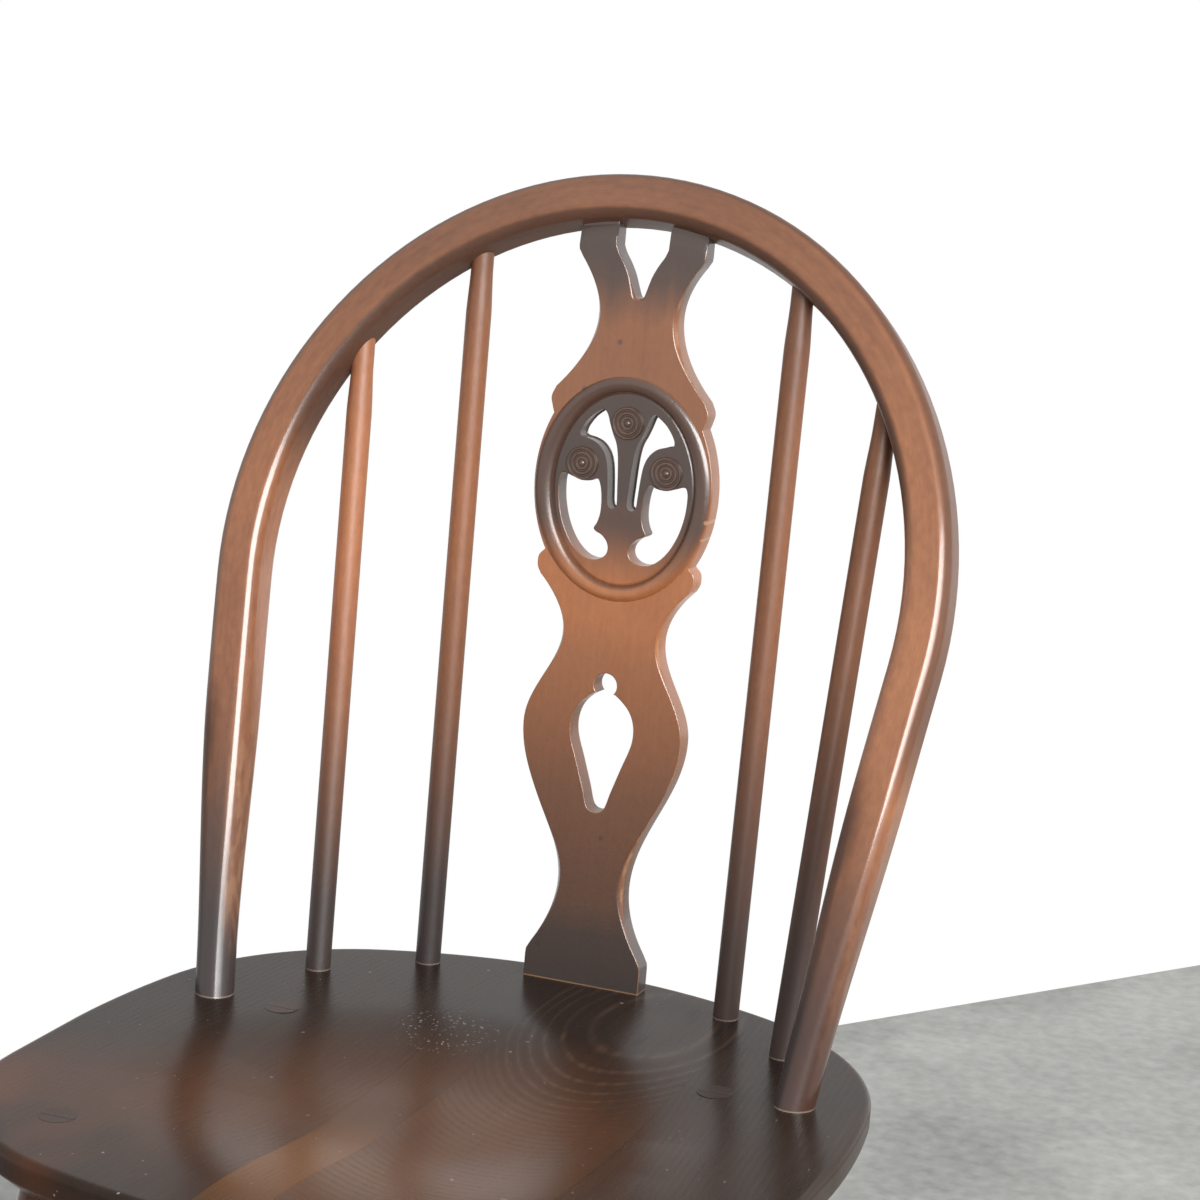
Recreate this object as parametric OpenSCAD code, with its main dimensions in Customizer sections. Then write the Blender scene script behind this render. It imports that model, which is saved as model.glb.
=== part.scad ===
// Thistle back chair: a bow-back dining chair in stained wood.
// The seat is glued up from boards. The bow, the pierced splat and four spindles
// stand in it, and four splayed legs with an H stretcher carry it.
// Frame: +Z up, -Y is the front of the chair, +X is the right of a viewer in front.
// The origin is on the floor, at the middle of the whole chair's box.

/* [Seat] */
// Height of the seat's top above the floor
seat_h = 430; // [400:1:460]
// Width of the seat
seat_w = 428.5; // [420:0.5:450]
// Depth of the seat, front to back
seat_d = 426.5; // [415:0.5:450]
// Thickness of the seat boards
seat_t = 33; // [30:0.5:38]
// How far the seat reaches behind the face of the splat
seat_rear = 26.8; // [24:0.1:40]
// Radius of the seat's rear edge
seat_rear_r = 300; // [290:1:330]
// Radius of the seat's rear shoulders
seat_shoulder_r = 144; // [138:1:150]
// Radius of the seat's sides behind the widest place
seat_side_r = 530; // [500:5:600]
// Angle over which the sides draw in towards the rear
seat_side_turn = 10.7; // [9:0.1:12]
// Radius of the seat's front corners
seat_corner_r = 131; // [120:1:140]
// Radius of the seat's front edge
seat_front_r = 416; // [390:1:450]
// Height of the upright band round the seat's edge
seat_band = 14; // [11:0.5:18]
// How far the bevel under the seat reaches inwards
seat_bevel_in = 22; // [14:0.5:24]
// Radius of the seat's top arris
seat_arris = 4; // [2:0.5:6]
// Depth of the dished middle of the seat
dish_depth = 9; // [4:0.5:12]
// Half width of the dish
dish_half_w = 165; // [140:1:170]
// Half length of the dish
dish_half_l = 145; // [120:1:150]
// Distance of the dish's middle in front of the splat's face
dish_front = 215; // [205:1:225]
// Height of the soft ridge in the front of the dish
pommel_h = 2.5; // [0:0.5:4]
// Place across the seat of the first glue line, from the middle
joint_left = -39; // [-60:1:-37]
// Place across the seat of the second glue line
joint_middle = -6; // [-20:1:10]
// Place across the seat of the third glue line
joint_right = 108; // [104:1:112]

/* [Bow] */
// Half width of the arch, on the middle of the bow
bow_half_w = 196.2; // [190:0.2:200]
// Height of the arch above its widest place
bow_rise = 196.5; // [185:0.5:205]
// Height of the arch's widest place above the seat
bow_waist_z = 244.1; // [235:0.5:265]
// Angle at which the limbs draw in towards the seat
bow_draw_in = 6.8; // [5:0.1:8]
// Distance of the bow's feet in front of the splat's face
bow_foot_front = 118.8; // [112:0.5:126]
// Backward lean of the bow at the seat
bow_lean_foot = 13.9; // [13:0.1:16]
// Backward lean of the bow at its top
bow_lean_top = 24.1; // [21:0.1:26]
// Width of the bow's front face in the arch
bow_face = 25.6; // [23:0.2:28]
// Depth of the bow, front to back, in the arch
bow_deep = 28; // [24:0.5:31]
// Radius of the bow's rounded arrises
bow_round = 7.5; // [5:0.5:8]
// Diameter of the bow's round feet
bow_foot_d = 21.6; // [19:0.2:23]
// Height at which a limb reaches its full section
bow_full_z = 160; // [130:5:200]

/* [Splat] */
// Thickness of the splat
splat_t = 13; // [10:0.5:15]
// Width of the splat's foot
splat_foot_w = 70; // [66:0.5:78]
// Height of the upright sides of the foot
splat_foot_h = 15; // [10:0.5:18]
// Width of the lowest waist
waist_low_w = 40.4; // [34:0.2:48]
// Height of the lowest waist
waist_low_z = 57; // [50:0.5:64]
// Width of the belly round the keyhole
belly_w = 95; // [88:0.5:104]
// Height of the belly's widest place
belly_z = 146; // [142:0.5:150]
// Width of the middle waist
waist_mid_w = 58; // [50:0.2:66]
// Height of the middle waist
waist_mid_z = 200.5; // [197:0.5:205]
// Width of the shoulders under and over the oval
shoulder_w = 93.6; // [90:0.2:98]
// Width of the oval
oval_w = 105.4; // [102:0.2:112]
// Height of the oval ring
oval_h = 126; // [123:0.2:129]
// Height of the oval's middle above the seat
oval_z = 283.5; // [280:0.5:287]
// Width of the raised ring, at the sides of the oval
ring_w = 11; // [9:0.2:12]
// How far the ring stands out of the splat's face
ring_proud = 2; // [1:0.1:3]
// How deep the field inside the ring is sunk
field_sink = 1.5; // [0.5:0.1:2.5]
// Radius of the three round bosses
boss_r = 9.2; // [8:0.1:9.6]
// Width of the top waist
waist_top_w = 46.8; // [40:0.2:54]
// Height of the top waist
waist_top_z = 380; // [376:0.5:384]
// Width over the two prongs
prong_w = 74.6; // [70:0.2:80]
// Width between the two prongs
fork_w = 30.2; // [26:0.2:34]
// Height of the fork's tip
fork_z = 389.3; // [386:0.5:394]
// Distance of the prongs in front of the bow's middle
prong_fore = 2.5; // [0:0.5:4]
// Thickness of the tenons on the prongs
prong_tenon_t = 8; // [6:0.2:9]
// Depth of those tenons in the bow
prong_tenon = 11; // [8:0.5:12]
// Depth of the splat's tenon in the seat
foot_tenon = 18; // [12:0.5:20]
// Step at each side of that tenon
foot_tenon_step = 3; // [2:0.5:5]

/* [Spindles] */
// Diameter of the spindles
spindle_d = 14.3; // [12.5:0.1:15]
// Diameter of their tenons in the bow
spindle_tenon_d = 12.4; // [9:0.1:13]
// How far those tenons pass the middle of the bow
spindle_tenon_past = 4; // [0:0.5:5]
// Length over which a spindle narrows to its tenon
spindle_taper = 24; // [16:1:34]
// Distance between a spindle's cone and the bow
spindle_clear = 4; // [3:0.5:6]
// Depth of the spindle holes in the seat
spindle_hole = 20; // [14:0.5:22]
// Outer spindles: distance of the foot from the middle
outer_foot_x = 139.1; // [136:0.5:143]
// Outer spindles: distance of the foot in front of the splat's face
outer_foot_front = 51.7; // [47:0.5:55]
// Outer spindles: place on the arch, as an angle from its widest place
outer_turn = 38.2; // [35:0.1:42]
// Inner spindles: distance of the foot from the middle
inner_foot_x = 90.9; // [87:0.2:94]
// Inner spindles: distance of the foot in front of the splat's face
inner_foot_front = 8; // [8:0.1:14]
// Inner spindles: place on the arch, as an angle from its widest place
inner_turn = 61.3; // [58:0.1:64]

/* [Legs] */
// Front legs: distance of the tenon from the middle
front_leg_x = 146; // [140:0.5:150]
// Front legs: distance of the tenon in front of the splat's face
front_leg_front = 321; // [314:0.5:326]
// Front legs: sideways splay down to the floor
front_splay_x = 38; // [28:0.5:46]
// Front legs: forward splay down to the floor
front_splay_y = 60; // [40:0.5:62]
// Rear legs: distance of the tenon from the middle
rear_leg_x = 126; // [124:0.5:130]
// Rear legs: distance of the tenon in front of the splat's face
rear_leg_front = 121; // [117:0.5:126]
// Rear legs: sideways splay down to the floor
rear_splay_x = 50; // [36:0.5:56]
// Rear legs: backward splay down to the floor
rear_splay_y = 136; // [110:0.5:140]
// Diameter of a leg at the floor
leg_toe_d = 22; // [20:0.5:26]
// Largest diameter of a leg
leg_belly_d = 32; // [29:0.5:36]
// Height of the largest diameter
leg_belly_z = 215; // [190:1:235]
// Diameter of a leg where it meets the seat
leg_neck_d = 24; // [22:0.5:28]
// Diameter of the leg tenons
leg_tenon_d = 19; // [17:0.5:20]

/* [Stretchers] */
// Height of the stretchers above the floor
stretcher_z = 190; // [150:1:240]
// Diameter of a stretcher's ends
stretcher_end_d = 15.5; // [13:0.5:18]
// Diameter of a stretcher's middle
stretcher_mid_d = 22; // [19:0.5:26]
// Depth of the side stretchers' tenons in the legs
side_tenon = 14; // [10:0.5:15]
// Depth of the cross stretcher's tenons in the side stretchers
cross_tenon = 9.5; // [7:0.5:10.5]

/* [Wedges] */
// Thickness of a wedge at its wide end
wedge_t = 2.4; // [1.6:0.1:3]
// Thickness of a wedge at its tip
wedge_tip = 0.6; // [0.4:0.1:1]
// Length of a wedge
wedge_l = 20; // [14:0.5:24]

/* [Fits] */
// Gap all round in each glued joint
glue_gap = 0.05; // [0.03:0.01:0.1]

/* [Hidden] */
$fn = 48;

bow_stain = [0.40, 0.23, 0.15];
splat_stain = [0.44, 0.26, 0.17];
seat_stain = [0.20, 0.13, 0.10];
leg_stain = [0.33, 0.19, 0.13];
bare_wood = [0.62, 0.43, 0.28];

// General functions
function lerp(a, b, t) = a + (b - a) * t;
function ease(t) = let (c = min(max(t, 0), 1)) c * c * (3 - 2 * c);
function unit(v) = v / norm(v);
function flip_x(v) = [-v[0], v[1], v[2]];
function spline_at(a, b, c, d, t) =
    0.5 * (2 * b + (c - a) * t + (2 * a - 5 * b + 4 * c - d) * t * t + (3 * b - a - 3 * c + d) * t * t * t);
// Smooth closed curve through key points
function closed_curve(p, steps = 4) =
    let (n = len(p))
    [for (i = [0 : n - 1], k = [0 : steps - 1])
        spline_at(p[(i + n - 1) % n], p[i], p[(i + 1) % n], p[(i + 2) % n], k / steps)];
// Smooth open curve through key points, both ends included
function open_curve(p, steps = 4) =
    let (n = len(p), q = concat([2 * p[0] - p[1]], p, [2 * p[n - 1] - p[n - 2]]))
    concat([for (i = [0 : n - 2], k = [0 : steps - 1]) spline_at(q[i], q[i + 1], q[i + 2], q[i + 3], k / steps)],
           [p[n - 1]]);
function mirrored(p) = [for (i = [len(p) - 1 : -1 : 0]) [-p[i][0], p[i][1]]];

// Seat: an outline of tangent arcs, the same arcs drawn in by an inset
arc_steps = 6;
function arc(c, r, from, to) =
    [for (k = [0 : arc_steps - 1]) let (a = lerp(from, to, k / arc_steps)) c + r * [cos(a), sin(a)]];
side_cx = seat_w / 2 - seat_side_r;
shoulder_cx = side_cx + (seat_side_r - seat_shoulder_r) * cos(seat_side_turn);
rear_turn = acos(shoulder_cx / (seat_rear_r - seat_shoulder_r));
rear_cy = seat_rear - seat_rear_r;
shoulder_cy = rear_cy + (seat_rear_r - seat_shoulder_r) * sin(rear_turn);
side_cy = shoulder_cy - (seat_side_r - seat_shoulder_r) * sin(seat_side_turn);
corner_cx = seat_w / 2 - seat_corner_r;
front_turn = acos(corner_cx / (seat_front_r - seat_corner_r));
front_cy = seat_rear - seat_d + seat_front_r;
corner_cy = front_cy - (seat_front_r - seat_corner_r) * sin(front_turn);
function seat_half(inset) = concat(
    arc([0, rear_cy], seat_rear_r - inset, 90, rear_turn),
    arc([shoulder_cx, shoulder_cy], seat_shoulder_r - inset, rear_turn, seat_side_turn),
    arc([side_cx, side_cy], seat_side_r - inset, seat_side_turn, 0),
    arc([corner_cx, corner_cy], seat_corner_r - inset, 0, -front_turn),
    arc([0, front_cy], seat_front_r - inset, -front_turn, -90),
    [[0, front_cy - seat_front_r + inset]]);
function seat_outline(inset) =
    let (h = seat_half(inset), n = len(h))
    concat(h, [for (i = [n - 2 : -1 : 1]) [-h[i][0], h[i][1]]]);
// How far the seat's top lies below its rim
dish_flat = 0.3;
pommel_half_w = 38;
pommel_l = 110;
function seat_dip(x, y) =
    let (r = norm([x / dish_half_w, (y + dish_front) / dish_half_l]),
         bowl = 1 - ease((r - dish_flat) / (1 - dish_flat)),
         ridge = exp(-pow(x / pommel_half_w, 2)) * ease((-dish_front - y) / pommel_l))
    bowl * (dish_depth - pommel_h * ridge);
seat_bottom = -seat_t;
dish_rings = [0.94, 0.87, 0.79, 0.7, 0.6, 0.5, 0.4, 0.3, 0.2, 0.1];

// Bow: a path in front view, carried back by its lean
bow_top_z = bow_waist_z + bow_rise;
bow_curl = (tan(bow_lean_top) - tan(bow_lean_foot)) / (2 * bow_top_z);
limb_slope = bow_half_w / bow_rise * tan(bow_draw_in);
limb_top_z = bow_waist_z - bow_rise * sin(bow_draw_in);
bow_foot_x = bow_half_w * cos(bow_draw_in) - limb_slope * limb_top_z;
function bow_y(z) = -bow_foot_front + tan(bow_lean_foot) * z + bow_curl * z * z;
function bow_tan(z) = tan(bow_lean_foot) + 2 * bow_curl * z;
function arch_xz(turn) = [bow_half_w * cos(turn), bow_waist_z + bow_rise * sin(turn)];
function bow_mid(turn) = let (p = arch_xz(turn)) [p[0], bow_y(p[1]), p[1]];
// Each station is x, z and the direction of the path in front view
bow_collar = 12;
limb_step = 0.15;
limb_r = bow_foot_d / 2 - limb_step;
limb_stations = [bow_collar, 34, 60, 90, 120, 150, 180, 205];
arch_count = 17;
right_stations = concat(
    [for (z = limb_stations) [bow_foot_x + limb_slope * z, z, limb_slope, 1]],
    [for (k = [0 : arch_count]) let (t = lerp(-bow_draw_in, 90, k / arch_count), p = arch_xz(t))
        [p[0], p[1], -bow_half_w * sin(t), bow_rise * cos(t)]]);
bow_stations = concat(right_stations,
    [for (i = [len(right_stations) - 2 : -1 : 0]) let (s = right_stations[i]) [-s[0], s[1], s[2], -s[3]]]);
// Rounded rectangle of four corner arcs, a circle where all three sizes are equal
function section(hw, hd, r) =
    [for (q = [0 : 3], k = [0 : 4]) let (a = 90 * q + 9 + 18 * k)
        [(hw - r) * sign(cos(45 + 90 * q)) + r * cos(a), (hd - r) * sign(sin(45 + 90 * q)) + r * sin(a)]];
function bow_ring(s) =
    let (x = s[0], z = s[1], g = bow_tan(z), grow = ease((z - bow_collar) / (bow_full_z - bow_collar)),
         along = unit([s[2], s[3] * g, s[3]]), back = unit([0, 1, -g]), inward = cross(along, back),
         hw = lerp(limb_r, bow_face / 2, grow), hd = lerp(limb_r, bow_deep / 2, grow),
         r = lerp(limb_r, bow_round, grow))
    [for (p = section(hw, hd, r)) [x, bow_y(z), z] + inward * p[0] + back * p[1]];
// A limb's straight foot: a point on its axis and the axis's direction
collar_at = [bow_foot_x + limb_slope * bow_collar, bow_y(bow_collar), bow_collar];
foot_dir = unit([limb_slope, bow_tan(bow_collar), 1]);
foot_len = (bow_collar + seat_t) / foot_dir[2];

// The chair is moved so that its box is centred on the origin
bow_back = bow_y(bow_top_z) + bow_round + (bow_deep / 2 - bow_round) * cos(bow_lean_top)
         + (bow_face / 2 - bow_round) * sin(bow_lean_top);
datum_y = -(bow_back + seat_rear - seat_d) / 2;

// Splat: it stands on the seat and leans back to the bow
prong_mid_x = (prong_w + fork_w) / 4;
prong_in_bow = bow_waist_z + bow_rise * sqrt(1 - pow(prong_mid_x / bow_half_w, 2));
splat_lean = atan((bow_y(prong_in_bow) - prong_fore - splat_t / 2) / prong_in_bow);
bow_under = bow_round + (bow_face / 2 - bow_round) * cos(bow_lean_top)
          + (bow_deep / 2 - bow_round) * sin(bow_lean_top);
shoulder_room = 1;
prong_shoulder = bow_waist_z + bow_rise * sqrt(1 - pow(prong_w / 2 / bow_half_w, 2)) - bow_under - shoulder_room;
// The arch rises this much from the prongs' outer corners to their middles
prong_rise = 4;
prong_top = prong_shoulder + prong_rise + prong_tenon;
// The sides beside the oval are a longer oval, cut off at the notches
edge_past = 5;
edge_a = oval_w / 2;
edge_b = oval_h / 2 + edge_past;
edge_z = oval_z + 1;
notch_low = oval_z - 38.5;
notch_high = oval_z + 38;
function edge_x(z) = edge_a * sqrt(1 - pow((z - edge_z) / edge_b, 2));
// Half widths at a waist grow with the square of the height away from it
function bend(w0, z0, w1, z1, steps = 6) =
    [for (k = [0 : steps - 1]) let (t = k / steps) [lerp(w1, w0, 1 - t * t), lerp(z0, z1, t)]];
function swell(w0, z0, w1, z1, steps = 9) =
    [for (k = [0 : steps - 1]) let (t = k / steps) [lerp(w0, w1, (1 - cos(180 * t)) / 2), lerp(z0, z1, t)]];
function turned(p) = [for (i = [len(p) - 1 : -1 : 0]) p[i]];
shoulder = shoulder_w / 2;
splat_half = concat(
    [[splat_foot_w / 2, 0], [splat_foot_w / 2, splat_foot_h - 2], [splat_foot_w / 2 - 0.3, splat_foot_h + 1]],
    turned(bend(waist_low_w / 2, waist_low_z, splat_foot_w / 2 - 1, splat_foot_h + 3)),
    swell(waist_low_w / 2, waist_low_z, belly_w / 2, belly_z),
    swell(belly_w / 2, belly_z, waist_mid_w / 2, waist_mid_z),
    bend(waist_mid_w / 2, waist_mid_z, shoulder - 2.2, notch_low - 14),
    open_curve([[shoulder - 2.2, notch_low - 14], [shoulder - 0.4, notch_low - 10.5], [shoulder, notch_low - 7],
                [shoulder - 0.7, notch_low - 3.5], [edge_x(notch_low), notch_low]]),
    [for (k = [1 : 15]) let (z = lerp(notch_low, notch_high, k / 16)) [edge_x(z), z]],
    open_curve([[edge_x(notch_high), notch_high], [shoulder - 1.4, notch_high + 3.5], [shoulder - 0.3, notch_high + 9],
                [shoulder - 2.7, notch_high + 15]]),
    turned(bend(waist_top_w / 2, waist_top_z, shoulder - 2.7, notch_high + 15, 8)),
    bend(waist_top_w / 2, waist_top_z, prong_w / 2 - 1.2, waist_top_z + 31, 8),
    [[prong_w / 2 - 0.3, waist_top_z + 33], [prong_w / 2, waist_top_z + 35.5]]);
fork_half = open_curve([[0, fork_z], [2, fork_z + 0.5], [3, fork_z + 2], [4.7, fork_z + 6.7], [6.9, fork_z + 12.7],
                        [10, fork_z + 18.7], [fork_w / 2 - 1.7, fork_z + 24], [fork_w / 2, fork_z + 28]]);
keyhole_half = open_curve([[0, -45.6], [2.5, -45.2], [4.8, -43.4], [6.3, -40], [8, -34], [10.7, -26], [14, -16.5],
                           [16.8, -9], [18.5, -2.5], [18.7, 4], [17.3, 10], [14.5, 15], [10.2, 19.3], [6.2, 22.3]], 3);
keyhole_knob = [0, 27];
keyhole_knob_r = 6.8;
// Openings right of the middle, from the oval's middle, for an oval of the size drawn
drawn_oval = [105.4, 126];
oval_scale = [oval_w / drawn_oval[0], oval_h / drawn_oval[1]];
function on_oval(p) = [for (q = p) [q[0] * oval_scale[0], q[1] * oval_scale[1] + oval_z]];
upper_opening = [[2.3, -8.5], [2.8, 1.5], [3.4, 11.5], [4.2, 19.5], [5.6, 25.5], [8, 30.5], [10, 35.5], [12, 41],
                 [14.7, 43.9], [17.5, 42.8], [23, 38.5], [27.2, 32.8], [28.6, 28.8], [27.4, 26.3], [22, 25.1],
                 [17.5, 23.1], [13.7, 19], [11.5, 13.5], [10.4, 5.5], [9.7, -3.5], [9.3, -8.5], [8.1, -11.2],
                 [5.8, -12.2], [3.3, -10.9]];
lower_opening = [[14.8, 3.3], [13.2, -1.5], [12.4, -8.5], [12.6, -15], [13.9, -20], [15.6, -23.3], [14.2, -25.2],
                 [10.5, -26.9], [7.4, -30.2], [6.3, -33.9], [7.3, -37.5], [10.6, -40.1], [15, -41], [20.3, -39.7],
                 [25.5, -35.9], [30.3, -29.9], [34.6, -21], [37.3, -10.5], [38, -0.5], [37.1, 4.3], [35.2, 5.3],
                 [30.5, 3.7], [25.2, 2.2], [19.5, 2.7], [16.6, 4.1]];
bosses = [[-25, 12], [0, 37], [25, 12]];
// The ring is narrower over and under the oval
ring_end_share = 0.78;
boss_rings = [0.92, 0.62, 0.32];
groove_deep = 0.5;
groove_edge = 0.6;
groove_w = 1;
function oval_ring(a, b) = [for (k = [0 : 47]) [a * cos(k * 7.5), b * sin(k * 7.5) + oval_z]];

// Spindles, legs and stretchers: the ends of each piece's axis
function spindle_foot(x, front) = [x, -front, 0];
function leg_point(x, y, splay_x, splay_y, z) =
    let (down = (seat_h - z) / seat_h) [x + splay_x * down, y + splay_y * down, z - seat_h];
function front_leg_at(z) = leg_point(front_leg_x, -front_leg_front, front_splay_x, -front_splay_y, z);
function rear_leg_at(z) = leg_point(rear_leg_x, -rear_leg_front, rear_splay_x, rear_splay_y, z);
stretcher_front = front_leg_at(stretcher_z);
stretcher_rear = rear_leg_at(stretcher_z);
side_dir = unit(stretcher_rear - stretcher_front);
side_mid = (stretcher_front + stretcher_rear) / 2;
function leg_r(z) = z < leg_belly_z
    ? lerp(leg_toe_d, leg_belly_d, sin(90 * z / leg_belly_z)) / 2
    : lerp(leg_neck_d, leg_belly_d, cos(90 * (z - leg_belly_z) / (seat_h - seat_t - leg_belly_z))) / 2;
side_start = leg_r(stretcher_z) - side_tenon;
cross_start = stretcher_mid_d / 2 - cross_tenon;
over = 5;

// General modules
// Puts the chair's own coordinates, which start at the splat's face on the seat, into the part's frame
module on_chair() {
    translate([0, datum_y, seat_h]) children();
}

// Turns +Z to a direction and moves it to a point, with a round form's seam away from slots and edges
seam_turn = 37.5;
module along_axis(p, d) {
    u = unit(d);
    translate(p) rotate([0, acos(u[2]), atan2(u[1], u[0])]) rotate([0, 0, seam_turn]) children();
}

// A rod from one point to another
module rod(a, b, r) {
    along_axis(a, b - a) cylinder(h = norm(b - a), r = r);
}

// A turned piece: rows of distance along the axis and radius
module turning(rows) {
    rotate_extrude() polygon(concat([[0, rows[0][0]]], [for (q = rows) [q[1], q[0]]], [[0, rows[len(rows) - 1][0]]]));
}

// A closed skin over rings that have equally many points
module skin(rings) {
    n = len(rings[0]);
    m = len(rings);
    polyhedron(
        points = [for (ring = rings, p = ring) p],
        faces = concat(
            [[for (i = [n - 1 : -1 : 0]) i]],
            [for (j = [0 : m - 2], i = [0 : n - 1]) [j * n + i, j * n + (i + 1) % n, (j + 1) * n + i]],
            [for (j = [0 : m - 2], i = [0 : n - 1])
            [j * n + (i + 1) % n, (j + 1) * n + (i + 1) % n, (j + 1) * n + i]],
            [[for (i = [0 : n - 1]) (m - 1) * n + i]]));
}

// Seat
module seat_shell() {
    rim = seat_outline(seat_arris);
    middle = [0, -dish_front];
    rings = concat(
        [[for (p = seat_outline(seat_bevel_in)) [p[0], p[1], seat_bottom]]],
        [[for (p = seat_outline(0)) [p[0], p[1], -seat_band]]],
        [for (a = [0, 30, 60, 90])
            [for (p = seat_outline(seat_arris * (1 - cos(a)))) [p[0], p[1], -seat_arris * (1 - sin(a))]]],
        [for (s = dish_rings)
            [for (p = rim) let (q = lerp(middle, p, s)) [q[0], q[1], -seat_dip(q[0], q[1])]]]);
    n = len(rim);
    m = len(rings);
    points = concat([for (ring = rings, p = ring) p], [[0, -dish_front, -seat_dip(0, -dish_front)]]);
    polyhedron(points = points, faces = concat(
        [[for (i = [n - 1 : -1 : 0]) i]],
        [for (j = [0 : m - 2], i = [0 : n - 1]) [j * n + i, j * n + (i + 1) % n, (j + 1) * n + i]],
        [for (j = [0 : m - 2], i = [0 : n - 1])
            [j * n + (i + 1) % n, (j + 1) * n + (i + 1) % n, (j + 1) * n + i]],
        [for (i = [0 : n - 1]) [(m - 1) * n + i, (m - 1) * n + (i + 1) % n, m * n]]));
}

module seat_holes(side) {
    mirror([side < 0 ? 1 : 0, 0, 0]) {
        rod(collar_at, collar_at - foot_dir * (foot_len + over), bow_foot_d / 2 + glue_gap);
        spindle_seat_hole(spindle_foot(outer_foot_x, outer_foot_front), bow_mid(outer_turn));
        spindle_seat_hole(spindle_foot(inner_foot_x, inner_foot_front), bow_mid(inner_turn));
        rod(front_leg_at(seat_h + over), front_leg_at(seat_h - seat_t - over), leg_tenon_d / 2 + glue_gap);
        rod(rear_leg_at(seat_h + over), rear_leg_at(seat_h - seat_t - over), leg_tenon_d / 2 + glue_gap);
    }
}

module spindle_seat_hole(foot, top) {
    d = unit(top - foot);
    rod(foot - d * (spindle_hole + glue_gap), foot + d * over, spindle_d / 2 + glue_gap);
}

module seat_board(from, to, sides) {
    color(seat_stain) on_chair() difference() {
        intersection() {
            seat_shell();
            translate([from, -seat_d, -2 * seat_t]) cube([to - from, 2 * seat_d, 4 * seat_t]);
        }
        for (side = sides) seat_holes(side);
        if (from < splat_foot_w / 2 && to > -splat_foot_w / 2) splat_foot_block(glue_gap);
    }
}

// Bow
module bow() {
    color(bow_stain) on_chair() difference() {
        union() {
            skin([for (s = bow_stations) bow_ring(s)]);
            for (side = [0, 1]) mirror([side, 0, 0]) bow_foot();
        }
        for (side = [0, 1]) mirror([side, 0, 0]) {
            bow_spindle_hole(spindle_foot(outer_foot_x, outer_foot_front), bow_mid(outer_turn));
            bow_spindle_hole(spindle_foot(inner_foot_x, inner_foot_front), bow_mid(inner_turn));
        }
        prong_tenons(glue_gap);
    }
}

module bow_foot() {
    difference() {
        intersection() {
            rod(collar_at + foot_dir * bow_collar, collar_at - foot_dir * (foot_len + over), bow_foot_d / 2);
            translate([0, -seat_d, seat_bottom]) cube([seat_w, 2 * seat_d, 3 * seat_t]);
        }
        bow_wedge_shape(glue_gap);
    }
}

module bow_spindle_hole(foot, top) {
    d = unit(top - foot);
    rod(top - d * 2 * bow_face, top + d * (spindle_tenon_past + glue_gap), spindle_tenon_d / 2 + glue_gap);
}

// Splat
module splat_plane() {
    rotate([-splat_lean, 0, 0]) translate([0, splat_t, 0]) rotate([90, 0, 0]) children();
}

// In the splat's own plane Z is 0 at its back and splat_t at its face
module splat_foot_block(grow) {
    splat_plane() translate([-splat_foot_w / 2 + foot_tenon_step - grow, -foot_tenon - grow, -grow])
        cube([splat_foot_w - 2 * foot_tenon_step + 2 * grow, foot_tenon + grow + over, splat_t + 2 * grow]);
}

module prong_tenons(grow) {
    for (side = [0, 1]) mirror([side, 0, 0]) splat_plane()
        translate([fork_w / 2 - grow, prong_shoulder, (splat_t - prong_tenon_t) / 2 - grow])
            cube([(prong_w - fork_w) / 2 + 2 * grow, prong_top - prong_shoulder + grow, prong_tenon_t + 2 * grow]);
}

module splat_openings() {
    polygon(closed_curve(on_oval(upper_opening)));
    polygon(closed_curve(on_oval(lower_opening)));
}

module splat_sheet() {
    difference() {
        polygon(concat(splat_half, [[prong_w / 2, prong_shoulder], [-prong_w / 2, prong_shoulder]], mirrored(splat_half)));
        splat_openings();
        mirror([1, 0]) splat_openings();
        translate([0, belly_z]) {
            polygon(concat(keyhole_half, mirrored(keyhole_half)));
            translate(keyhole_knob) circle(r = keyhole_knob_r);
        }
        polygon(concat(fork_half, [[fork_w / 2, prong_shoulder + over], [-fork_w / 2, prong_shoulder + over]],
                       mirrored(fork_half)));
    }
}

module splat() {
    inner_a = oval_w / 2 - ring_w;
    inner_b = oval_h / 2 - ring_w * ring_end_share;
    color(splat_stain) on_chair() union() {
        difference() {
            splat_plane() splat_board(inner_a, inner_b);
            translate([-splat_foot_w, -splat_foot_w, -over]) cube([2 * splat_foot_w, 2 * splat_foot_w, over]);
        }
        splat_foot_block(0);
        prong_tenons(0);
    }
}

// The board of the splat, its raised ring, its sunk field and its ringed bosses
module splat_board(inner_a, inner_b) {
    difference() {
        union() {
            linear_extrude(splat_t) splat_sheet();
            translate([0, 0, splat_t]) linear_extrude(ring_proud) intersection() {
                splat_sheet();
                polygon(oval_ring(oval_w / 2, oval_h / 2));
            }
        }
        translate([0, 0, splat_t - field_sink]) linear_extrude(field_sink + ring_proud + over) difference() {
            polygon(oval_ring(inner_a, inner_b));
            for (b = bosses) translate(on_oval([b])[0]) circle(r = boss_r);
        }
        translate([0, 0, splat_t]) linear_extrude(ring_proud + over) polygon(oval_ring(inner_a, inner_b));
        for (b = bosses, k = boss_rings) translate([each on_oval([b])[0], splat_t - groove_deep]) difference() {
            cylinder(h = 2 * groove_deep, r = boss_r * k - groove_edge);
            translate([0, 0, -groove_deep]) cylinder(h = 4 * groove_deep, r = boss_r * k - groove_edge - groove_w);
        }
    }
}

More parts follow.
